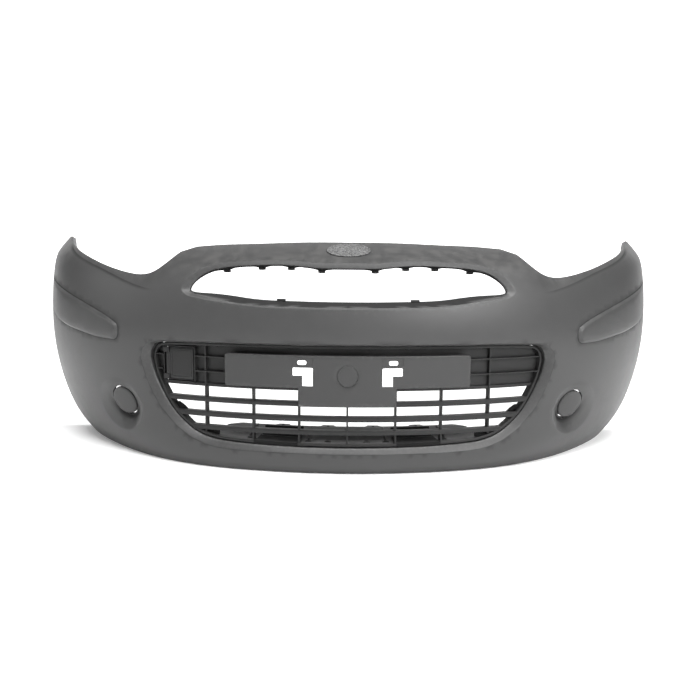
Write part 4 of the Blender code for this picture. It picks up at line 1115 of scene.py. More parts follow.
def make_cover(sizes, finish):
    """The moulded skin: its sheet first, then each of its edges."""
    shell = Shell()
    step = sizes.skin_step
    outline = outer_outline(step)
    rim = [(x, z) if foot[1] > 1e-6 else (x, FOOT_RADIUS)
           for (x, z), foot in zip(inset(outline, sizes.edge_radius), outline)]
    upper_lip, upper_throat, intake_lip, intake_throat = (
        spline_samples(path, LIP_SAMPLES).tolist()
        for path in (UPPER_LIP, UPPER_THROAT, INTAKE_LIP, INTAKE_THROAT))
    upper_edge, upper_rows, upper_shoulder, upper_corner = lip_rows(
        upper_lip, upper_throat, upper_roll, sizes.lip_radius)
    intake_edge, intake_rows, intake_shoulder, intake_corner = lip_rows(
        intake_lip, intake_throat, intake_roll, sizes.lip_radius)

    fog_reach = FOG_HOLE_RADIUS + sizes.lip_radius
    fog = ring(FOG_RUN, FOG_HEIGHT, fog_reach, fog_reach / FOG_STRETCH, FOG_SEGMENTS)
    loop = list(rim)
    loop += line_between(rim[-1], intake_edge[-1], step)[1:] + list(reversed(intake_edge))[1:]
    loop += line_between(intake_edge[0], upper_edge[-1], step)[1:] + list(reversed(upper_edge))[1:]
    loop += line_between(upper_edge[0], rim[0], step)[1:-1]
    lines = []
    for gap in (0.0025, 0.0, -0.0025, -0.010):
        dish = ring(DISH_RUN, DISH_HEIGHT, DISH_HALF[0] + gap, DISH_HALF[1] + gap, FOG_SEGMENTS)
        lines.append(closed_path(dish))
    for gap in (-0.0018, 0.0, 0.0018):
        lines.append([p for p in inset(BLADE, BLADE_BEVEL + gap) if p[0] < BLADE_END])
    shade_lines = painted_shade_lines()
    lines += [path for path, _ in shade_lines]
    loop = [tuple(map(float, p)) for p in loop]
    flat, faces = sheet(loop, [fog], lines, step)
    # Painted shade along the blade's outline, along the crease and in a crescent below each fog lamp.
    painted_shading = {key(p): shade for path, shades in shade_lines for p, shade in zip(path, shades)}
    shell.patch(on_skin(flat), faces, [painted_shading.get(key(p), 0.0) for p in flat])
    add_outer_edge(shell, outline, rim, sizes.edge_radius)
    add_upper_opening(shell, upper_throat, upper_rows, upper_shoulder, upper_corner)
    add_intake(shell, intake_throat, intake_rows, intake_shoulder, intake_corner)
    add_fog_hole(shell, fog, sizes.lip_radius)
    return make_piece("cover_skin", shell, finish, ["bumper_cover"],
                      thickness=sizes.wall, mirrored=True, facing=(0, -1, 0))


def add_outer_edge(shell, outline, rim, edge_radius):
    """A rounded corner, then the flange that turns back."""
    directions = [edge_inward(x, z) for x, z in outline]
    corner = on_skin(outline)
    radii = [FOOT_RADIUS if z < 1e-6 else edge_radius for _, z in outline]
    shoulder = moved(corner, directions, radii)
    reach = [FOOT_WIDTH if z < 1e-6 else EDGE_RETURN for _, z in outline]
    rows = bend(on_skin(rim), corner, shoulder, 4)
    shell.strip(rows, wear=1.0)
    for share in (0.45, 1.0):
        depths = [radius + (full - radius) * share for full, radius in zip(reach, radii)]
        rows.append(moved(corner, directions, depths))
    shell.strip(rows[4:])


def add_upper_opening(shell, throat, chamfer, shoulder, corner):
    """Chamfer, return and the scalloped flange behind it, with painted shade on the top of the chamfer,
    on the return and on the flange.
    """
    level = [plan(x)[1] for x, _ in throat]
    ledge = [1 - smooth_step(0.368, 0.392, z) for _, z in throat]
    top = [smooth_step(0.400, 0.425, z) for _, z in throat]
    # Painted shade on the top of the chamfer, which faces down.
    under = [UNDER_LIP_SHADE * w for w in top]
    for first, second in zip(chamfer, chamfer[1:]):
        shell.strip([first, second], wear=0.5, recess=under)
    rows = bend(shoulder, corner, moved(corner, level, THROAT_ROUND))
    depths = []
    for (run, _), w in zip(throat, ledge):
        full = UPPER_RETURN + (UPPER_END_RETURN - UPPER_RETURN) * smooth_step(0.300, 0.345, run)
        depths.append(full + (UPPER_LEDGE - full) * w)
    for share in (0.4, 0.8, 1.0):
        row = moved(corner, level, [d * share for d in depths])
        rows.append([p + Vector((0, 0, UPPER_LEDGE_RISE * w * share)) for p, w in zip(row, ledge)])
    shell.strip(rows[:5])
    shell.strip(rows[4:], recess=1.0)
    drop = [Vector((0, 0, -hang(x) * w)) for (x, _), w in zip(throat, top)]
    back = rows[-1]
    hung = [p + d for p, d in zip(back, drop)]
    shell.strip([back, [p + d * 0.5 for p, d in zip(back, drop)], hung], recess=1.0)


def add_intake(shell, throat, chamfer, shoulder, corner):
    """Chamfer and the return that carries the grille and the stiffener, with a painted shade line at the
    lip, a painted highlight at the throat's corner and painted shade on the return.
    """
    level = [plan(x)[1] for x, _ in throat]
    # A painted shade line along the lip, then light scuffing with painted highlight down the chamfer.
    shell.strip(chamfer[:3], recess=INTAKE_LIP_SHADE)
    shell.strip(chamfer[2:], wear=0.3)
    rows = bend(shoulder, corner, moved(corner, level, THROAT_ROUND))
    depths = [INTAKE_RETURN + (SHELF_LEDGE - INTAKE_RETURN) * (1 - smooth_step(0.060, 0.085, z))
              for _, z in throat]
    for share in (0.3, 0.65, 1.0):
        rows.append(moved(corner, level, [d * share for d in depths]))
    # Scuffing and a painted highlight round the throat's corner, painted shade on the return behind it.
    shell.strip(rows[:4], wear=1.0)
    shell.strip(rows[3:], recess=INTAKE_RETURN_SHADE)


def add_fog_hole(shell, rim, lip_radius):
    """The rounded edge of the fog-lamp hole, and its collar, which is in painted shade."""
    hole = ring(FOG_RUN, FOG_HEIGHT, FOG_HOLE_RADIUS, FOG_HOLE_RADIUS / FOG_STRETCH, FOG_SEGMENTS)
    corner = on_skin(hole)
    inward = [seat_frame(1)[1]] * FOG_SEGMENTS
    rows = bend(on_skin(rim), corner, moved(corner, inward, lip_radius))
    shell.strip(rows, closed=True, wear=0.4)
    shell.strip([rows[-1], moved(corner, inward, FOG_COLLAR)], closed=True, recess=1.0)


def bonnet_tab_places():
    for half_run in TAB_RUNS:
        for run in (-half_run, half_run):
            height = float(np.interp(half_run, *zip(*BONNET_LINE)))
            yield skin_point(run, height) + skin_inward(run, height) * (EDGE_RETURN - 0.0015)


def make_bonnet_tabs(finish):
    """Four screw tabs behind the bonnet line, each with a hole and two stiffening webs."""
    shell = Shell()
    half_width, depth, thick = TAB_SIZE[0] / 2, TAB_SIZE[1], TAB_SIZE[2]
    for root in bonnet_tab_places():
        middle = root + Vector((0, depth / 2 - 0.002, 0))

        def lift(x, z, down, middle=middle):
            return middle + Vector((x, z, thick / 2 - down))
        loop = rounded([(-half_width, -depth / 2, 0.0), (half_width, -depth / 2, 0.0),
                        (half_width, depth / 2, 0.006), (-half_width, depth / 2, 0.006)], 0.01)
        hole_at = root.y + depth * 0.6 - middle.y
        hole = ring(0.0, hole_at, TAB_HOLE_RADIUS, TAB_HOLE_RADIUS, 24)
        shell.plate(loop, [hole], lift, 0.0, thick, 0.0008, 0.02)
        for side in (-1, 1):
            web = Matrix.Translation(root + Vector((side * (half_width - 0.004), 0, 0)))
            shell.tube(box_points((-0.0008, 0.0, -0.006), (0.0008, 0.022, -0.001), web, 0.0003))
    return make_piece("bonnet_tabs", shell, finish)


def make_clip_tabs(sizes, finish):
    """Clip tabs that hang from the flange of the upper opening, and two on its ledge."""
    shell = Shell()
    half = sizes.clip_tab_width / 2
    throat = curve_through(UPPER_THROAT, 0.004)
    for tab in CLIP_TAB_RUNS:
        height = min((abs(x - tab), z) for x, z in throat if z > 0.41)[1]
        for run in (-tab, tab):
            path = [(run + s, height - hang(tab) - 0.0010) for s in np.linspace(-half, half, 5)]
            setback = skin_setback(run, height) + UPPER_ROLL + UPPER_RETURN
            shell.ribbon(path, 0.0052, setback - 0.0012, setback + 0.0030, 0.0006)
            lip = [(x, z - 0.0022) for x, z in path[1:-1]]
            shell.ribbon(lip, 0.0016, setback - 0.0032, setback + 0.0010, 0.0005)
    for run in (-LEDGE_TAB_RUN, LEDGE_TAB_RUN):
        height = min((abs(x - LEDGE_TAB_RUN), z) for x, z in throat if z < 0.39)[1]
        rear = skin_setback(run, height) + UPPER_LEDGE
        path = [(run + s, height + UPPER_LEDGE_RISE + 0.0012) for s in np.linspace(-0.0095, 0.0095, 5)]
        shell.ribbon(path, 0.0062, rear - 0.0050, rear + 0.0005, 0.0006)
    return make_piece("clip_tabs", shell, finish)


# ---------------------------------------------------------------- the grille
def throat_height(run, lower):
    """Height of the intake's lower or upper wall at this run."""
    half = sorted(p for p in INTAKE_THROAT if (p[1] < 0.09) == lower and p[0] < 0.43)
    return float(np.interp(abs(run), [p[0] for p in half], [p[1] for p in half]))


def grille_edge(gap):
    """Function from height to the run where the grille's frame ends, moved in by a gap."""
    path = inset(curve_through(INTAKE_THROAT, 0.004), gap)
    side = sorted((z, x) for x, z in path if x > 0.27 and z < 0.266)
    heights, runs = zip(*side)
    return lambda z: float(np.interp(z, heights, runs))


def lid_axes():
    """Pin axis point at mid-height, and the directions inboard and inward of the lid."""
    height = sum(LID_HEIGHTS) / 2
    setback = LID_FRONT + LID_THICK / 2
    start = behind_plan(LID_RUN[0], height, setback)
    end = behind_plan(LID_RUN[1], height, setback)
    inboard = (end - start).normalized()
    return start, inboard, Vector((0, 0, 1)).cross(inboard)


def lid_frame():
    start, inboard, inward = lid_axes()
    return Matrix.Translation(start) @ Matrix((inboard, inward, (0, 0, 1))).transposed().to_4x4()


def make_grille(sizes, finish):
    """Frame, bars and ribs, then the screen, the lid's surround and the screw bosses."""
    shell = Shell()
    radius = sizes.bar_radius
    half = [tuple(map(float, p)) for p in inset(curve_through(INTAKE_THROAT, 0.008),
                                                GRILLE_GAP + GRILLE_FRAME / 2)]
    shell.ribbon(both_sides(half), GRILLE_FRAME, GRILLE_FRONT, GRILLE_BACK, radius, closed=True)
    edge = grille_edge(GRILLE_GAP + GRILLE_FRAME / 2)
    foot = throat_height(0.2, lower=True) + GRILLE_FRAME
    for low, high in BARS:
        height = (low + high) / 2
        reach = edge(height)
        path = line_between((-reach, height), (reach, height), 0.012)
        shell.ribbon(path, high - low, GRILLE_FRONT + 0.0004, GRILLE_BACK - 0.001, radius)
    for rib in RIB_RUNS:
        for run in {-rib, rib}:
            top = RIB_TOP if rib == RIB_RUNS[-1] else SCREEN_FOOT[1]
            path = line_between((run, foot), (run, top), 0.012)
            shell.ribbon(path, RIB_THICK, GRILLE_FRONT + 0.0026, GRILLE_BACK, 0.0008)
    sill = sum(SCREEN_FOOT) / 2
    reach = edge(sill)
    shell.ribbon(line_between((-reach, sill), (reach, sill), 0.012), SCREEN_FOOT[1] - SCREEN_FOOT[0],
                 GRILLE_FRONT + 0.006, SCREEN_FRONT + SCREEN_THICK, radius)
    for height in THIN_BARS:
        outer = edge(height)
        for start, end in ((PAD_CELL_HALF, outer), (-PAD_CELL_HALF, LID_RUN[1] + 0.005),
                           (LID_RUN[0] - STUB_START, -outer)):
            path = line_between((start, height), (end, height), 0.010)
            shell.ribbon(path, THIN_BAR, GRILLE_FRONT + 0.0012, SCREEN_FRONT + 0.001, 0.0007)
    add_screen(shell)
    add_lid_surround(shell)
    for run in GRILLE_SCREW_RUNS:
        for side in (-1, 1):
            foot = throat_height(run, lower=False) - 0.0030
            place = behind_plan(side * run, foot, GRILLE_SCREW_SETBACK)
            shell.turned(SCREW_BOSS, Matrix.Translation(place), 20)
    return make_piece("grille_bars", shell, finish, ["lower_grille"])


def add_screen(shell):
    """Closed screen behind the upper half, with a window behind each opening of the pad."""
    top_path = [p for p in inset(curve_through(INTAKE_THROAT, 0.010), GRILLE_GAP + 0.002)
                if p[1] > SCREEN_FOOT[0] + 0.008]
    last = top_path[-1][0] - 0.002
    loop = top_path + [(last, SCREEN_FOOT[0])]
    loop = [tuple(map(float, p)) for p in loop]
    base = line_between((last, SCREEN_FOOT[0]), (-last, SCREEN_FOOT[0]), 0.02)
    loop = loop + base[1:-1] + flip(loop)[:-1]
    window = rounded(box_corners(*EYELET, 0.002), 0.012)
    eye = rounded(box_corners(LID_RUN[0] + EYE_MARGIN, LID_RUN[1] - EYE_MARGIN,
                              LID_HEIGHTS[0] + EYE_MARGIN, LID_HEIGHTS[1] - EYE_MARGIN, 0.004),
                  0.012)
    shell.plate(loop, [window, flip(window), eye], behind_plan, SCREEN_FRONT,
                SCREEN_FRONT + SCREEN_THICK, 0.0004, 0.012)


def add_lid_surround(shell):
    """Raised frames round the lid, and the lugs that hold its pin."""
    for gap, width, front in ((0.0030, 0.0018, GRILLE_FRONT + 0.0022),
                              (0.0105, 0.0022, GRILLE_FRONT + 0.0010)):
        start, low, high = LID_RUN[0] - gap, LID_HEIGHTS[0] - gap * 0.55, LID_HEIGHTS[1] + gap * 0.45
        loop = rounded([(LID_RUN[1] + 0.002, high, 0.0), (start, high, 0.006), (start, low, 0.006),
                        (LID_RUN[1] + 0.002, low, 0.0)], 0.006)[:-1]
        cut = max(range(len(loop)), key=lambda i: math.dist(loop[i], loop[(i + 1) % len(loop)]))
        path = [p for p in loop[cut + 1:] + loop[:cut + 1]
                if not (p[0] > LID_RUN[1] and low + 0.004 < p[1] < high - 0.004)]
        start_at = next(i for i, p in enumerate(path) if p[1] > high - 1e-6)
        path = path[start_at:] + path[:start_at]
        shell.ribbon(path, width, front, SCREEN_FRONT + 0.001, 0.0006)
    shell.ribbon(line_between((LID_RUN[1] + 0.0035, LID_HEIGHTS[0] - 0.004),
                              (LID_RUN[1] + 0.0035, LID_HEIGHTS[1] + 0.006), 0.01),
                 0.0022, GRILLE_FRONT + 0.0015, SCREEN_FRONT + 0.001, 0.0006)
    local = lid_frame()
    reach = (LID_HEIGHTS[1] - LID_HEIGHTS[0]) / 2
    for low, high in ((reach - LUG_TALL, reach + 0.002), (-reach - 0.002, -reach + LUG_TALL)):
        shell.tube(box_points((-0.0105, -0.0034, low), (0.0042, 0.0100, high), local, 0.0006))


def make_shadow_pockets(finish):
    """Near-black sheets as painted shadow: pockets behind the grille's lowest gap, and wedges in its
    lower corners.
    """
    shell = Shell()
    for side in (-1, 1):
        for corners in (UPPER_WEDGE, LOWER_WEDGE):
            wedge = rounded([(side * x, z, 0.0025) for x, z in corners], 0.01, 3)
            shell.plate(wedge, [], behind_plan, GRILLE_BACK - 0.007, GRILLE_BACK - 0.002,
                        0.0006, 0.02)
        runs, rows = np.linspace(*POCKET_RUNS, 13), []
        for setback, rise in ((0.0212, 0.0010), (0.0212, 0.0088), (0.0390, 0.0088), (0.0400, 0.0050)):
            rows.append([(run, throat_height(run, lower=True) + rise, setback) for run in runs])
        for setback in (0.050, 0.060, 0.075, 0.090, 0.105):
            rows.append([(run, shelf_height(run, setback) + 0.0040, setback) for run in runs])
        rows.append([(run, BARS[2][0] - 0.001, 0.106) for run in runs])
        shell.strip([[behind_plan(side * run, z, s) for run, z, s in row] for row in rows])
    return make_piece("grille_shadow_sheets", shell, finish, thickness=0.0006)


# ---------------------------------------------------------------- plate bracket
def make_bracket(finish):
    """The plate pad with its slots, L-shaped openings, sunk seats and round boss."""
    shell = Shell()
    outline = rounded([(PAD_HALF, PAD_TOP, PAD_RADIUS), (PAD_HALF, PAD_FOOT, PAD_RADIUS),
                       (PAD_TAIL_HALF, PAD_FOOT, 0.0015), (PAD_TAIL_HALF, PAD_TAIL_FOOT, 0.002),
                       (-PAD_TAIL_HALF, PAD_TAIL_FOOT, 0.002), (-PAD_TAIL_HALF, PAD_FOOT, 0.0015),
                       (-PAD_HALF, PAD_FOOT, PAD_RADIUS), (-PAD_HALF, PAD_TOP, PAD_RADIUS)], 0.010)
    inner, outer = ELL_RUN
    foot, ledge, top = ELL_HEIGHTS
    slot = rounded(box_corners(SLOT_RUN - SLOT_HALF[0], SLOT_RUN + SLOT_HALF[0],
                               SLOT_HEIGHT - SLOT_HALF[1], SLOT_HEIGHT + SLOT_HALF[1], 0.0046), 0.004)
    ell = rounded([(inner, foot, 0.0016), (inner, top, 0.003), (outer, top, 0.003),
                   (outer, ledge, 0.0016), (ELL_STEP, ledge, 0.0012), (ELL_STEP, foot, 0.0016)], 0.005)
    holes = [slot, flip(slot), ell, flip(ell)]
    seat = box_corners(inner - 0.0005, outer + 0.0010, 0.2352, PAD_TOP - 0.0045, 0.001)
    seat = rounded(seat, 0.006, 3)
    lines = []
    for pull in (0.0, 0.0006):
        lines += [closed_path(grow(loop, -pull)) for loop in (seat, flip(seat))]
    for reach in (BOSS_RADIUS + 0.0016, BOSS_RADIUS, BOSS_RADIUS - 0.0014, BOSS_RADIUS - 0.0030):
        lines.append(closed_path(ring(0.0, BOSS_HEIGHT, reach, reach, 56)))
    rim_radius, hole_radius = 0.0026, 0.0007
    rim = grow(outline, -rim_radius)
    wide = [grow(hole, hole_radius) for hole in holes]
    flat, faces = sheet(rim, wide, lines, 0.009)
    sunk = inside(flat, grow(seat, -0.0003)) | inside(flat, grow(flip(seat), -0.0003))

    def front(run, height):
        away = math.hypot(run, height - BOSS_HEIGHT)
        crown = BOSS_RISE * (1 - smooth_step(BOSS_RADIUS - 0.0014, BOSS_RADIUS, away))
        groove = SEAT_DEPTH * (1 - smooth_step(0.0, 0.0020, abs(away - BOSS_RADIUS - 0.0002)))
        return PAD_FRONT - crown + groove
    shell.patch([behind_plan(x, z, front(x, z) + (SEAT_DEPTH if low else 0.0))
                 for (x, z), low in zip(flat, sunk)], faces)

    def lifted(path, extra):
        return [behind_plan(x, z, front(x, z) + extra) for x, z in path]
    rows = bend(lifted(rim, 0.0), lifted(outline, 0.0), lifted(outline, rim_radius), 4)
    shell.strip(rows, closed=True, wear=0.7)
    shell.strip([rows[-1], lifted(outline, PAD_SKIRT)], closed=True)
    for near, hole in zip(wide, holes):
        rows = bend(lifted(near, 0.0), lifted(hole, 0.0), lifted(hole, hole_radius), 3)
        shell.strip(rows, closed=True, wear=0.7)
    return make_piece("plate_pad", shell, finish, ["plate_bracket"],
                      thickness=PAD_THICK - 0.0004, facing=(0, -1, 0))


def make_pad_posts(finish):
    """Screw posts behind the plate pad, each with four webs."""
    shell = Shell()
    for run in (-POST_RUN, POST_RUN):
        for height in POST_HEIGHTS:
            _, inward = plan(run)
            turn = inward.to_track_quat("Z", "Y").to_matrix().to_4x4()
            spot = Matrix.Translation(behind_plan(run, height, PAD_FRONT + 0.002)) @ turn
            length = SCREEN_FRONT - FIT - PAD_FRONT - 0.002
            shell.turned([(0.0005, 0.0), (0.0048, 0.0), (0.0048, length - 0.0006),
                          (0.0042, length), (0.0019, length), (0.0019, length - 0.008),
                          (0.0001, length - 0.008)], spot, 24)
            for k in range(4):
                web = spot @ Matrix.Rotation(math.pi / 2 * k, 4, "Z")
                shell.tube(box_points((0.004, -0.0006, 0.0), (0.0095, 0.0006, 0.008), web, 0.0002))
    return make_piece("pad_posts", shell, finish)


# ---------------------------------------------------------------- tow-eye lid
def make_lid(finish, steel):
    """The tow-eye lid with its framed panel and barrel, and the pin it turns on."""
    local = lid_frame()
    reach = (LID_HEIGHTS[1] - LID_HEIGHTS[0]) / 2
    width = math.dist(behind_plan(LID_RUN[0], 0, LID_FRONT), behind_plan(LID_RUN[1], 0, LID_FRONT))
    half = LID_THICK / 2

    def lift(x, z, depth):
        return local @ Vector((x, depth - half, z))
    shell = Shell()
    left = 0.0056
    loop = rounded(box_corners(left, width, -reach, reach, 0.003), 0.006)
    shell.plate(loop, [], lift, LID_FRAME_RISE, LID_THICK, 0.0006, 0.008)

    def framed(border, radius):
        return rounded(box_corners(left + border, width - border, border - reach, reach - border,
                                   radius), 0.005)
    shell.plate(framed(LID_BORDER, 0.003), [framed(LID_BORDER + LID_FRAME_WIDTH, 0.002)], lift,
                0.0, 0.0012, 0.0005, 0.01)
    knuckle = reach - LUG_TALL - FIT
    shell.tube(box_points((0.0, -half, -knuckle), (0.0070, half, knuckle), local, 0.0004))
    barrel = local @ Matrix.Translation((0, 0, -knuckle))
    inner = PIN_RADIUS + FIT
    shell.turned([(inner, 0.0), (BARREL_RADIUS - 0.0005, 0.0), (BARREL_RADIUS, 0.0005),
                  (BARREL_RADIUS, 2 * knuckle - 0.0005), (BARREL_RADIUS - 0.0005, 2 * knuckle),
                  (inner, 2 * knuckle)], barrel, 28)
    make_piece("tow_lid_panel", shell, finish, ["tow_eye_lid"], body="lid")
    pin = Shell()
    length = 2 * reach + 0.008
    foot = local @ Matrix.Translation((0, 0, -length / 2))
    r = PIN_RADIUS
    pin.turned([(r * 0.6, 0.0), (r, 0.0005), (r, length - 0.0005), (r * 0.6, length)], foot, 24)
    return make_piece("hinge_pin", pin, steel, ["lid_hinge_pin"])


# ---------------------------------------------------------------- fog-lamp blanks
def make_fog_blank(side, name, node, finish):
    """A domed cap with four legs that reach the hole's edge and four ribs behind."""
    place, inward = seat_frame(side)
    local = Matrix.Translation(place) @ (-inward).to_track_quat("Z", "Y").to_matrix().to_4x4()
    radius = FOG_HOLE_RADIUS - FOG_BLANK_GAP
    shell = Shell()
    profile = [(0.0002, 0.0030)]
    profile += [(radius * 0.94 * math.sin(t), 0.0012 + 0.0018 * math.cos(t))
                for t in np.linspace(0.15, math.pi / 2, 9)]
    profile += [(radius - 0.0008, 0.0009), (radius - 0.0002, 0.0002), (radius, -0.0010),
                (radius, -0.0060), (radius - 0.0016, -0.0060), (radius - 0.0022, -0.0022),
                (radius * 0.5, -0.0016), (0.0002, -0.0014)]
    shell.turned(profile, local, 72)
    for k in range(FOG_LEGS):
        leg = local @ Matrix.Rotation(math.pi / 4 + math.pi / 2 * k, 4, "Z")
        shell.tube(box_points((radius - 0.0012, -0.0040, -0.0125),
                              (FOG_HOLE_RADIUS - 0.0022, 0.0040, -0.0030), leg, 0.0004))
        rib = local @ Matrix.Rotation(math.pi / 2 * k, 4, "Z")
        shell.tube(box_points((0.004, -0.0007, -0.0050), (radius - 0.0018, 0.0007, -0.0012), rib,
                              0.0002))
    return make_piece(name, shell, finish, [node])


# ---------------------------------------------------------------- badge plate
def make_badge(finish):
    """An oval plate with a rounded rim and an uneven, unmarked face."""
    rise = (skin_point(0, BADGE_HEIGHT + 0.01) - skin_point(0, BADGE_HEIGHT - 0.01)).length / 0.02
    half_run, half_height = BADGE_HALF[0], BADGE_HALF[1] / rise

    def lift(x, z, depth):
        return skin_point(x, z) - skin_inward(x, z) * (BADGE_THICK + BADGE_GAP - depth)
    shell = Shell()
    loop = ring(0.0, BADGE_HEIGHT, half_run, half_height, 96)
    seed = np.random.default_rng(7)
    inner = grow(loop, -0.0022)
    flat, faces = sheet(inner, [], [], 0.0022)
    points = []
    for x, z in flat:
        away = math.hypot(x / (half_run - 0.0022), (z - BADGE_HEIGHT) / (half_height - 0.0022 / rise))
        rough = float(seed.uniform(-1, 1)) * 0.00045 * (1 - smooth_step(0.93, 1.0, away))
        points.append(lift(x, z, 0.0009 + rough))
    shell.patch(points, faces)
    crest = grow(loop, -0.0008)
    rows = [[lift(x, z, 0.0009) for x, z in inner], [lift(x, z, 0.0002) for x, z in grow(loop, -0.0016)],
            [lift(x, z, 0.0) for x, z in crest], [lift(x, z, 0.0008) for x, z in loop],
            [lift(x, z, BADGE_THICK) for x, z in loop]]
    shell.strip(rows, closed=True)
    flat, faces = sheet(loop, [], [], 0.008)
    shell.patch([lift(x, z, BADGE_THICK) for x, z in flat], faces)
    return make_piece("badge_seat", shell, finish, ["badge_plate"],
                      sharp_angle=math.radians(60))


# ---------------------------------------------------------------- stiffener
def shelf_height(run, setback):
    land = throat_height(run, lower=True) + SHELF_THICK + 2 * FIT
    share = smooth_step(SHELF_LAND, SHELF_REAR, setback)
    return land + (SHELF_REAR_HEIGHT - land) * share


def shelf_point(run, setback, down=0.0):
    return behind_plan(run, shelf_height(run, setback) - down, setback)


def rivet_places():
    """Run, seat and upward direction of each rivet on the stiffener's flat land."""
    reach = 0.010
    for half_run in RIVET_RUNS:
        for run in (-half_run, half_run):
            along = shelf_point(run + reach, RIVET_SETBACK) - shelf_point(run - reach, RIVET_SETBACK)
            back = shelf_point(run, RIVET_SETBACK + 0.002) - shelf_point(run, RIVET_SETBACK - 0.002)
            yield run, shelf_point(run, RIVET_SETBACK), along.cross(back).normalized()


def shelf_window(side, margin, radius):
    """Outline of a rectangular hole of the stiffener, grown by a margin."""
    middle, half = side * WINDOW_RUN, WINDOW_HALF + margin
    front, rear = WINDOW_SETBACKS
    return rounded(box_corners(middle - half, middle + half, front - margin, rear + margin, radius),
                   0.008)


def make_stiffener(finish):
    """The shelf behind the lower lip with its tabs and holes, and the upstands on it."""
    shell = Shell()
    corners = [(SHELF_HALF, SHELF_REAR - 0.020, 0.004), (SHELF_HALF - 0.03, SHELF_REAR, 0.006)]
    for centre in SHELF_TABS:
        near, far, rear = centre + TAB_HALF, centre - TAB_HALF, SHELF_REAR + TAB_REACH
        corners += [(near, SHELF_REAR, 0.003), (near - TAB_SLANT, rear, 0.003),
                    (far + TAB_SLANT, rear, 0.003), (far, SHELF_REAR, 0.003)]
    corners += [(-SHELF_HALF + 0.03, SHELF_REAR, 0.006), (-SHELF_HALF, SHELF_REAR - 0.020, 0.004),
                (-SHELF_HALF, SHELF_FRONT, 0.002), (SHELF_HALF, SHELF_FRONT, 0.002)]
    loop = rounded(corners, 0.010, 4)
    holes = [ring(run, RIVET_SETBACK, 0.0036, 0.0036, 20) for run, _, _ in rivet_places()]
    holes += [shelf_window(side, 0.0, 0.003) for side in (-1, 1)]
    holes += [ring(centre, SHELF_REAR + 0.001, 0.004, 0.004, 20) for centre in SHELF_TABS]
    panel = rounded(box_corners(-0.082, 0.082, 0.074, 0.112, 0.006), 0.008)
    inner = grow(panel, -0.003)
    lines = [closed_path(panel), closed_path(inner)]
    lines += [line_between((-SHELF_HALF + 0.006, SHELF_LAND), (SHELF_HALF - 0.006, SHELF_LAND),
                                 0.010)]
    flat, faces = sheet(loop, holes, lines, 0.009)
    low = inside(flat, grow(panel, -0.0015))
    shell.patch([shelf_point(x, s, 0.0022 if sunk else 0.0) for (x, s), sunk in zip(flat, low)], faces)
    make_piece("shelf_panel", shell, finish, ["lower_stiffener"],
               thickness=SHELF_THICK - 0.0003, facing=(0, 0, 1))

    # Upstands round the rectangular holes and along the rear edge.
    ribs = Shell()
    for side in (-1, 1):
        path = shelf_window(side, 0.0025, 0.004)
        rows = []
        for out, up in ((0.0, -0.0010), (0.0, 0.0040), (0.0004, 0.0046), (0.0012, 0.0046),
                        (0.0016, 0.0040), (0.0016, -0.0010)):
            rows.append([shelf_point(x, s, -up) for x, s in grow(path, out)])
        ribs.strip(rows, closed=True)
    for run in SHELF_RIB_RUNS:
        rows = []
        for out, up in ((-0.0009, -0.001), (-0.0009, 0.0050), (-0.0004, 0.0055), (0.0004, 0.0055),
                        (0.0009, 0.0050), (0.0009, -0.001)):
            rows.append([shelf_point(run + out, s, -up * (1 - smooth_step(0.118, 0.130, s)) + 0.0005)
                         for s in np.linspace(0.070, 0.131, 9)])
        ribs.strip(rows)
    return make_piece("shelf_ribs", ribs, finish)


# ---------------------------------------------------------------- fasteners
def make_rivet(number, place, up, finish):
    """A push rivet: domed collar, sunk pin with a cross, and a shank below."""
    turn = up.to_track_quat("Z", "Y").to_matrix().to_4x4()
    local = Matrix.Translation(place + up * 2 * FIT) @ turn
    shell = Shell()
    shell.turned(RIVET, local, 48, ((1, 2), 4, 0.35))
    return make_piece("push_rivet_%d" % number, shell, finish,
                      ["shelf_rivet_%d" % number])


def grille_screw_places():
    for run in GRILLE_SCREW_RUNS:
        for side in (-1, 1):
            height = throat_height(run, lower=False) + SKIN + SCREW_SEAT
            yield behind_plan(side * run, height, GRILLE_SCREW_SETBACK)


def post_screw_places():
    """Seat and inward direction of each screw in the plate pad's posts."""
    for run in (-POST_RUN, POST_RUN):
        for height in POST_HEIGHTS:
            yield behind_plan(run, height, SCREEN_FRONT + SCREEN_THICK + FIT), plan(run)[1]


def make_screw(name, node, place, outward, size, finish):
    """A pan-head screw with a six-lobed socket and a threaded shank."""
    head, shank, length = size
    turn = outward.to_track_quat("Z", "Y").to_matrix().to_4x4()
    local = Matrix.Translation(place) @ turn
    shell = Shell()
    profile = [(0.0001, head * 0.12), (head * 0.34, head * 0.12), (head * 0.42, head * 0.50),
               (head * 0.62, head * 0.53), (head * 0.86, head * 0.40), (head * 0.97, head * 0.20),
               (head, head * 0.06), (head * 0.98, 0.0), (shank, 0.0)]
    pitch = shank * 0.62
    turns = int((length - 0.0018) / pitch)
    for n in range(1, turns + 1):
        base = -n * pitch
        profile += [(shank * 0.76, base + pitch * 0.55), (shank, base + pitch * 0.25),
                    (shank * 0.76, base)]
    profile += [(shank * 0.3, -length), (0.0001, -length)]
    shell.turned(profile, local, 36, ((1, 2), 6, 0.22))
    return make_piece(name, shell, finish, [node])


# ---------------------------------------------------------------- operators
class BUMPER_OT_cover(bpy.types.Operator):
    """Build the cover's skin with its lips, edges, blades and fog-lamp dishes"""
    bl_idname = "bumper.cover"
    bl_label = "Cover skin"

    def execute(self, context):
        make_cover(context.scene.bumper_sizes, shell_plastic(context.scene.bumper_tones))
        return {"FINISHED"}


class BUMPER_OT_tabs(bpy.types.Operator):
    """Build the screw tabs behind the bonnet line and the clip tabs of the upper opening"""
    bl_idname = "bumper.tabs"
    bl_label = "Tabs"

    def execute(self, context):
        make_bonnet_tabs(shell_plastic(context.scene.bumper_tones))
        make_clip_tabs(context.scene.bumper_sizes, black_plastic(context.scene.bumper_tones))
        return {"FINISHED"}


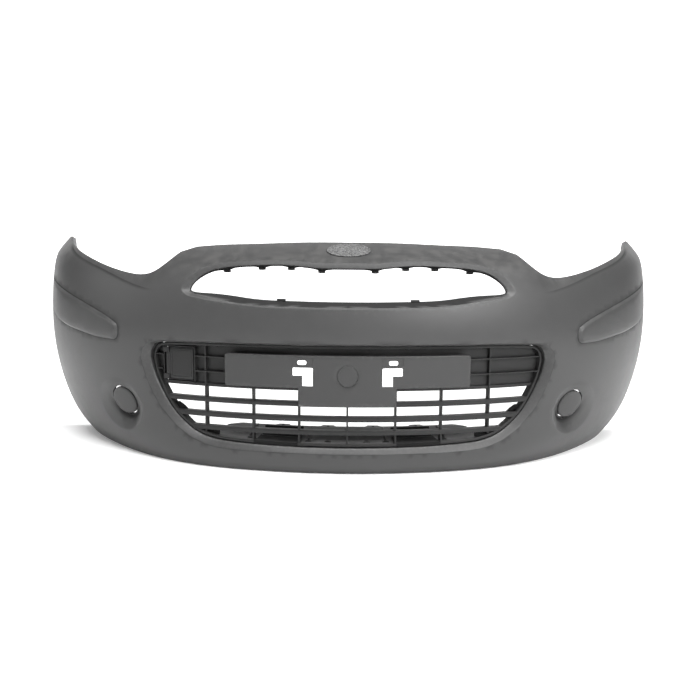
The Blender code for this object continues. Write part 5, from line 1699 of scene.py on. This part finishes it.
class BUMPER_OT_grille(bpy.types.Operator):
    """Build the lower grille with its bars, ribs, screen and lid frame"""
    bl_idname = "bumper.grille"
    bl_label = "Lower grille"

    def execute(self, context):
        make_grille(context.scene.bumper_sizes, black_plastic(context.scene.bumper_tones))
        make_shadow_pockets(painted_shadow_plastic(context.scene.bumper_tones))
        return {"FINISHED"}


class BUMPER_OT_bracket(bpy.types.Operator):
    """Build the number-plate pad with its slots, boss and posts"""
    bl_idname = "bumper.bracket"
    bl_label = "Plate bracket"

    def execute(self, context):
        finish = pad_plastic(context.scene.bumper_tones)
        make_bracket(finish)
        make_pad_posts(finish)
        return {"FINISHED"}


class BUMPER_OT_tow_lid(bpy.types.Operator):
    """Build the tow-eye lid and its hinge pin"""
    bl_idname = "bumper.tow_lid"
    bl_label = "Tow-eye lid"

    def execute(self, context):
        tones = context.scene.bumper_tones
        make_lid(black_plastic(tones), plated_steel(tones))
        return {"FINISHED"}


class BUMPER_OT_fog_blanks(bpy.types.Operator):
    """Build the two domed blanks that close the fog-lamp holes"""
    bl_idname = "bumper.fog_blanks"
    bl_label = "Fog-lamp blanks"

    def execute(self, context):
        finish = pad_plastic(context.scene.bumper_tones)
        make_fog_blank(1, "fog_cap_left", "fog_blank_left", finish)
        make_fog_blank(-1, "fog_cap_right", "fog_blank_right", finish)
        return {"FINISHED"}


class BUMPER_OT_badge(bpy.types.Operator):
    """Build the plain stippled plate of the upper panel"""
    bl_idname = "bumper.badge"
    bl_label = "Badge plate"

    def execute(self, context):
        tones = context.scene.bumper_tones
        finish = find_finish("Stippled plastic", stippled_plastic, tones.badge_tone, 0.45)
        make_badge(finish)
        return {"FINISHED"}


class BUMPER_OT_stiffener(bpy.types.Operator):
    """Build the stiffener behind the lower lip"""
    bl_idname = "bumper.stiffener"
    bl_label = "Stiffener"

    def execute(self, context):
        make_stiffener(shelf_plastic(context.scene.bumper_tones))
        return {"FINISHED"}


class BUMPER_OT_fasteners(bpy.types.Operator):
    """Build the push rivets and the screws"""
    bl_idname = "bumper.fasteners"
    bl_label = "Fasteners"

    def execute(self, context):
        tones = context.scene.bumper_tones
        black = black_plastic(tones)
        steel = plated_steel(tones)
        for number, (_, place, up) in enumerate(rivet_places(), 1):
            make_rivet(number, place, up, black)
        for number, place in enumerate(grille_screw_places(), 1):
            make_screw("frame_screw_%d" % number, "grille_screw_%d" % number, place,
                       Vector((0, 0, 1)), GRILLE_SCREW_SIZE, steel)
        for number, (place, inward) in enumerate(post_screw_places(), 1):
            make_screw("post_screw_%d" % number, "bracket_screw_%d" % number, place, inward,
                       POST_SCREW_SIZE, steel)
        return {"FINISHED"}


def area_light(name, place, size, power):
    """A rectangular light that faces the middle of the cover."""
    light = bpy.data.lights.new(name, "AREA")
    light.shape = "RECTANGLE"
    light.size, light.size_y = size
    light.energy = power
    thing = bpy.data.objects.new(name, light)
    turn = (Vector(LIT_MIDDLE) - Vector(place)).to_track_quat("-Z", "Y").to_matrix().to_4x4()
    thing.matrix_world = Matrix.Translation(place) @ turn
    bpy.context.scene.collection.objects.link(thing)


class BUMPER_OT_stage(bpy.types.Operator):
    """Set the pale floor, the soft lights and the camera"""
    bl_idname = "bumper.stage"
    bl_label = "Stage"

    def execute(self, context):
        scene, studio = context.scene, context.scene.bumper_studio
        paper = find_finish("Studio paper", studio_paper, studio.floor_tone, studio.floor_glow)
        reach, far, tall = PAPER_REACH, WALL_AT, WALL_TALL
        floor = [(-reach, -reach, 0), (reach, -reach, 0), (reach, far, 0), (-reach, far, 0)]
        wall = [(-reach, far, 0), (reach, far, 0), (reach, far, tall), (-reach, far, tall)]
        for name, corners in (("studio_floor", floor), ("studio_wall", wall)):
            mesh = bpy.data.meshes.new(name)
            mesh.from_pydata(corners, [], [(0, 1, 2, 3)])
            mesh.materials.append(paper)
            sheet_of_paper = bpy.data.objects.new(name, mesh)
            sheet_of_paper.location = (0, 0, -FLOOR_GAP)
            scene.collection.objects.link(sheet_of_paper)

        world = bpy.data.worlds.new("Surround")
        world.use_nodes = True
        sky = world.node_tree.nodes["Background"]
        sky.inputs["Color"].default_value = (1.0, 1.0, 1.0, 1.0)
        surround = Nodes(world.node_tree)
        seen = surround.node("LightPath", out="Is Camera Ray")
        surround.feed(sky, "Strength", studio.sky + seen * (1.0 - studio.sky))
        scene.world = world
        powers = (studio.key_power, studio.fill_power, studio.top_power)
        for (name, place, size), power in zip(LIGHTS, powers):
            area_light(name, place, size, power)

        lens = bpy.data.cameras.new("Camera")
        lens.lens = studio.lens
        lens.sensor_width = SENSOR_WIDTH
        lens.shift_x = LENS_SHIFT
        camera = bpy.data.objects.new("Camera", lens)
        turn = Matrix.Rotation(math.pi / 2 - studio.pitch, 4, "X") @ Matrix.Rotation(studio.roll, 4, "Z")
        camera.matrix_world = Matrix.Translation((0, -studio.eye_distance, studio.eye_height)) @ turn
        scene.collection.objects.link(camera)
        scene.camera = camera
        scene.view_settings.view_transform = "Standard"
        return {"FINISHED"}


STEPS = (BUMPER_OT_cover, BUMPER_OT_tabs, BUMPER_OT_grille, BUMPER_OT_bracket, BUMPER_OT_tow_lid,
         BUMPER_OT_fog_blanks, BUMPER_OT_badge, BUMPER_OT_stiffener, BUMPER_OT_fasteners,
         BUMPER_OT_stage)


class BUMPER_PT_build(bpy.types.Panel):
    """Buttons that build the bumper cover piece by piece"""
    bl_idname = "BUMPER_PT_build"
    bl_label = "Bumper cover"
    bl_space_type = "VIEW_3D"
    bl_region_type = "UI"
    bl_category = "Bumper"

    def draw(self, context):
        layout = self.layout
        for group in (context.scene.bumper_sizes, context.scene.bumper_tones,
                      context.scene.bumper_studio):
            box = layout.box()
            for name in group.__annotations__:
                box.prop(group, name)
        for step in STEPS:
            layout.operator(step.bl_idname)


CLASSES = (BumperSizes, BumperTones, BumperStudio) + STEPS + (BUMPER_PT_build,)


def register():
    for cls in CLASSES:
        bpy.utils.register_class(cls)
    bpy.types.Scene.bumper_sizes = bpy.props.PointerProperty(type=BumperSizes)
    bpy.types.Scene.bumper_tones = bpy.props.PointerProperty(type=BumperTones)
    bpy.types.Scene.bumper_studio = bpy.props.PointerProperty(type=BumperStudio)


def unregister():
    for name in ("bumper_sizes", "bumper_tones", "bumper_studio"):
        delattr(bpy.types.Scene, name)
    for cls in reversed(CLASSES):
        bpy.utils.unregister_class(cls)


def main():
    register()
    for step in STEPS:
        group, name = step.bl_idname.split(".")
        getattr(getattr(bpy.ops, group), name)()


if __name__ == "__main__":
    main()
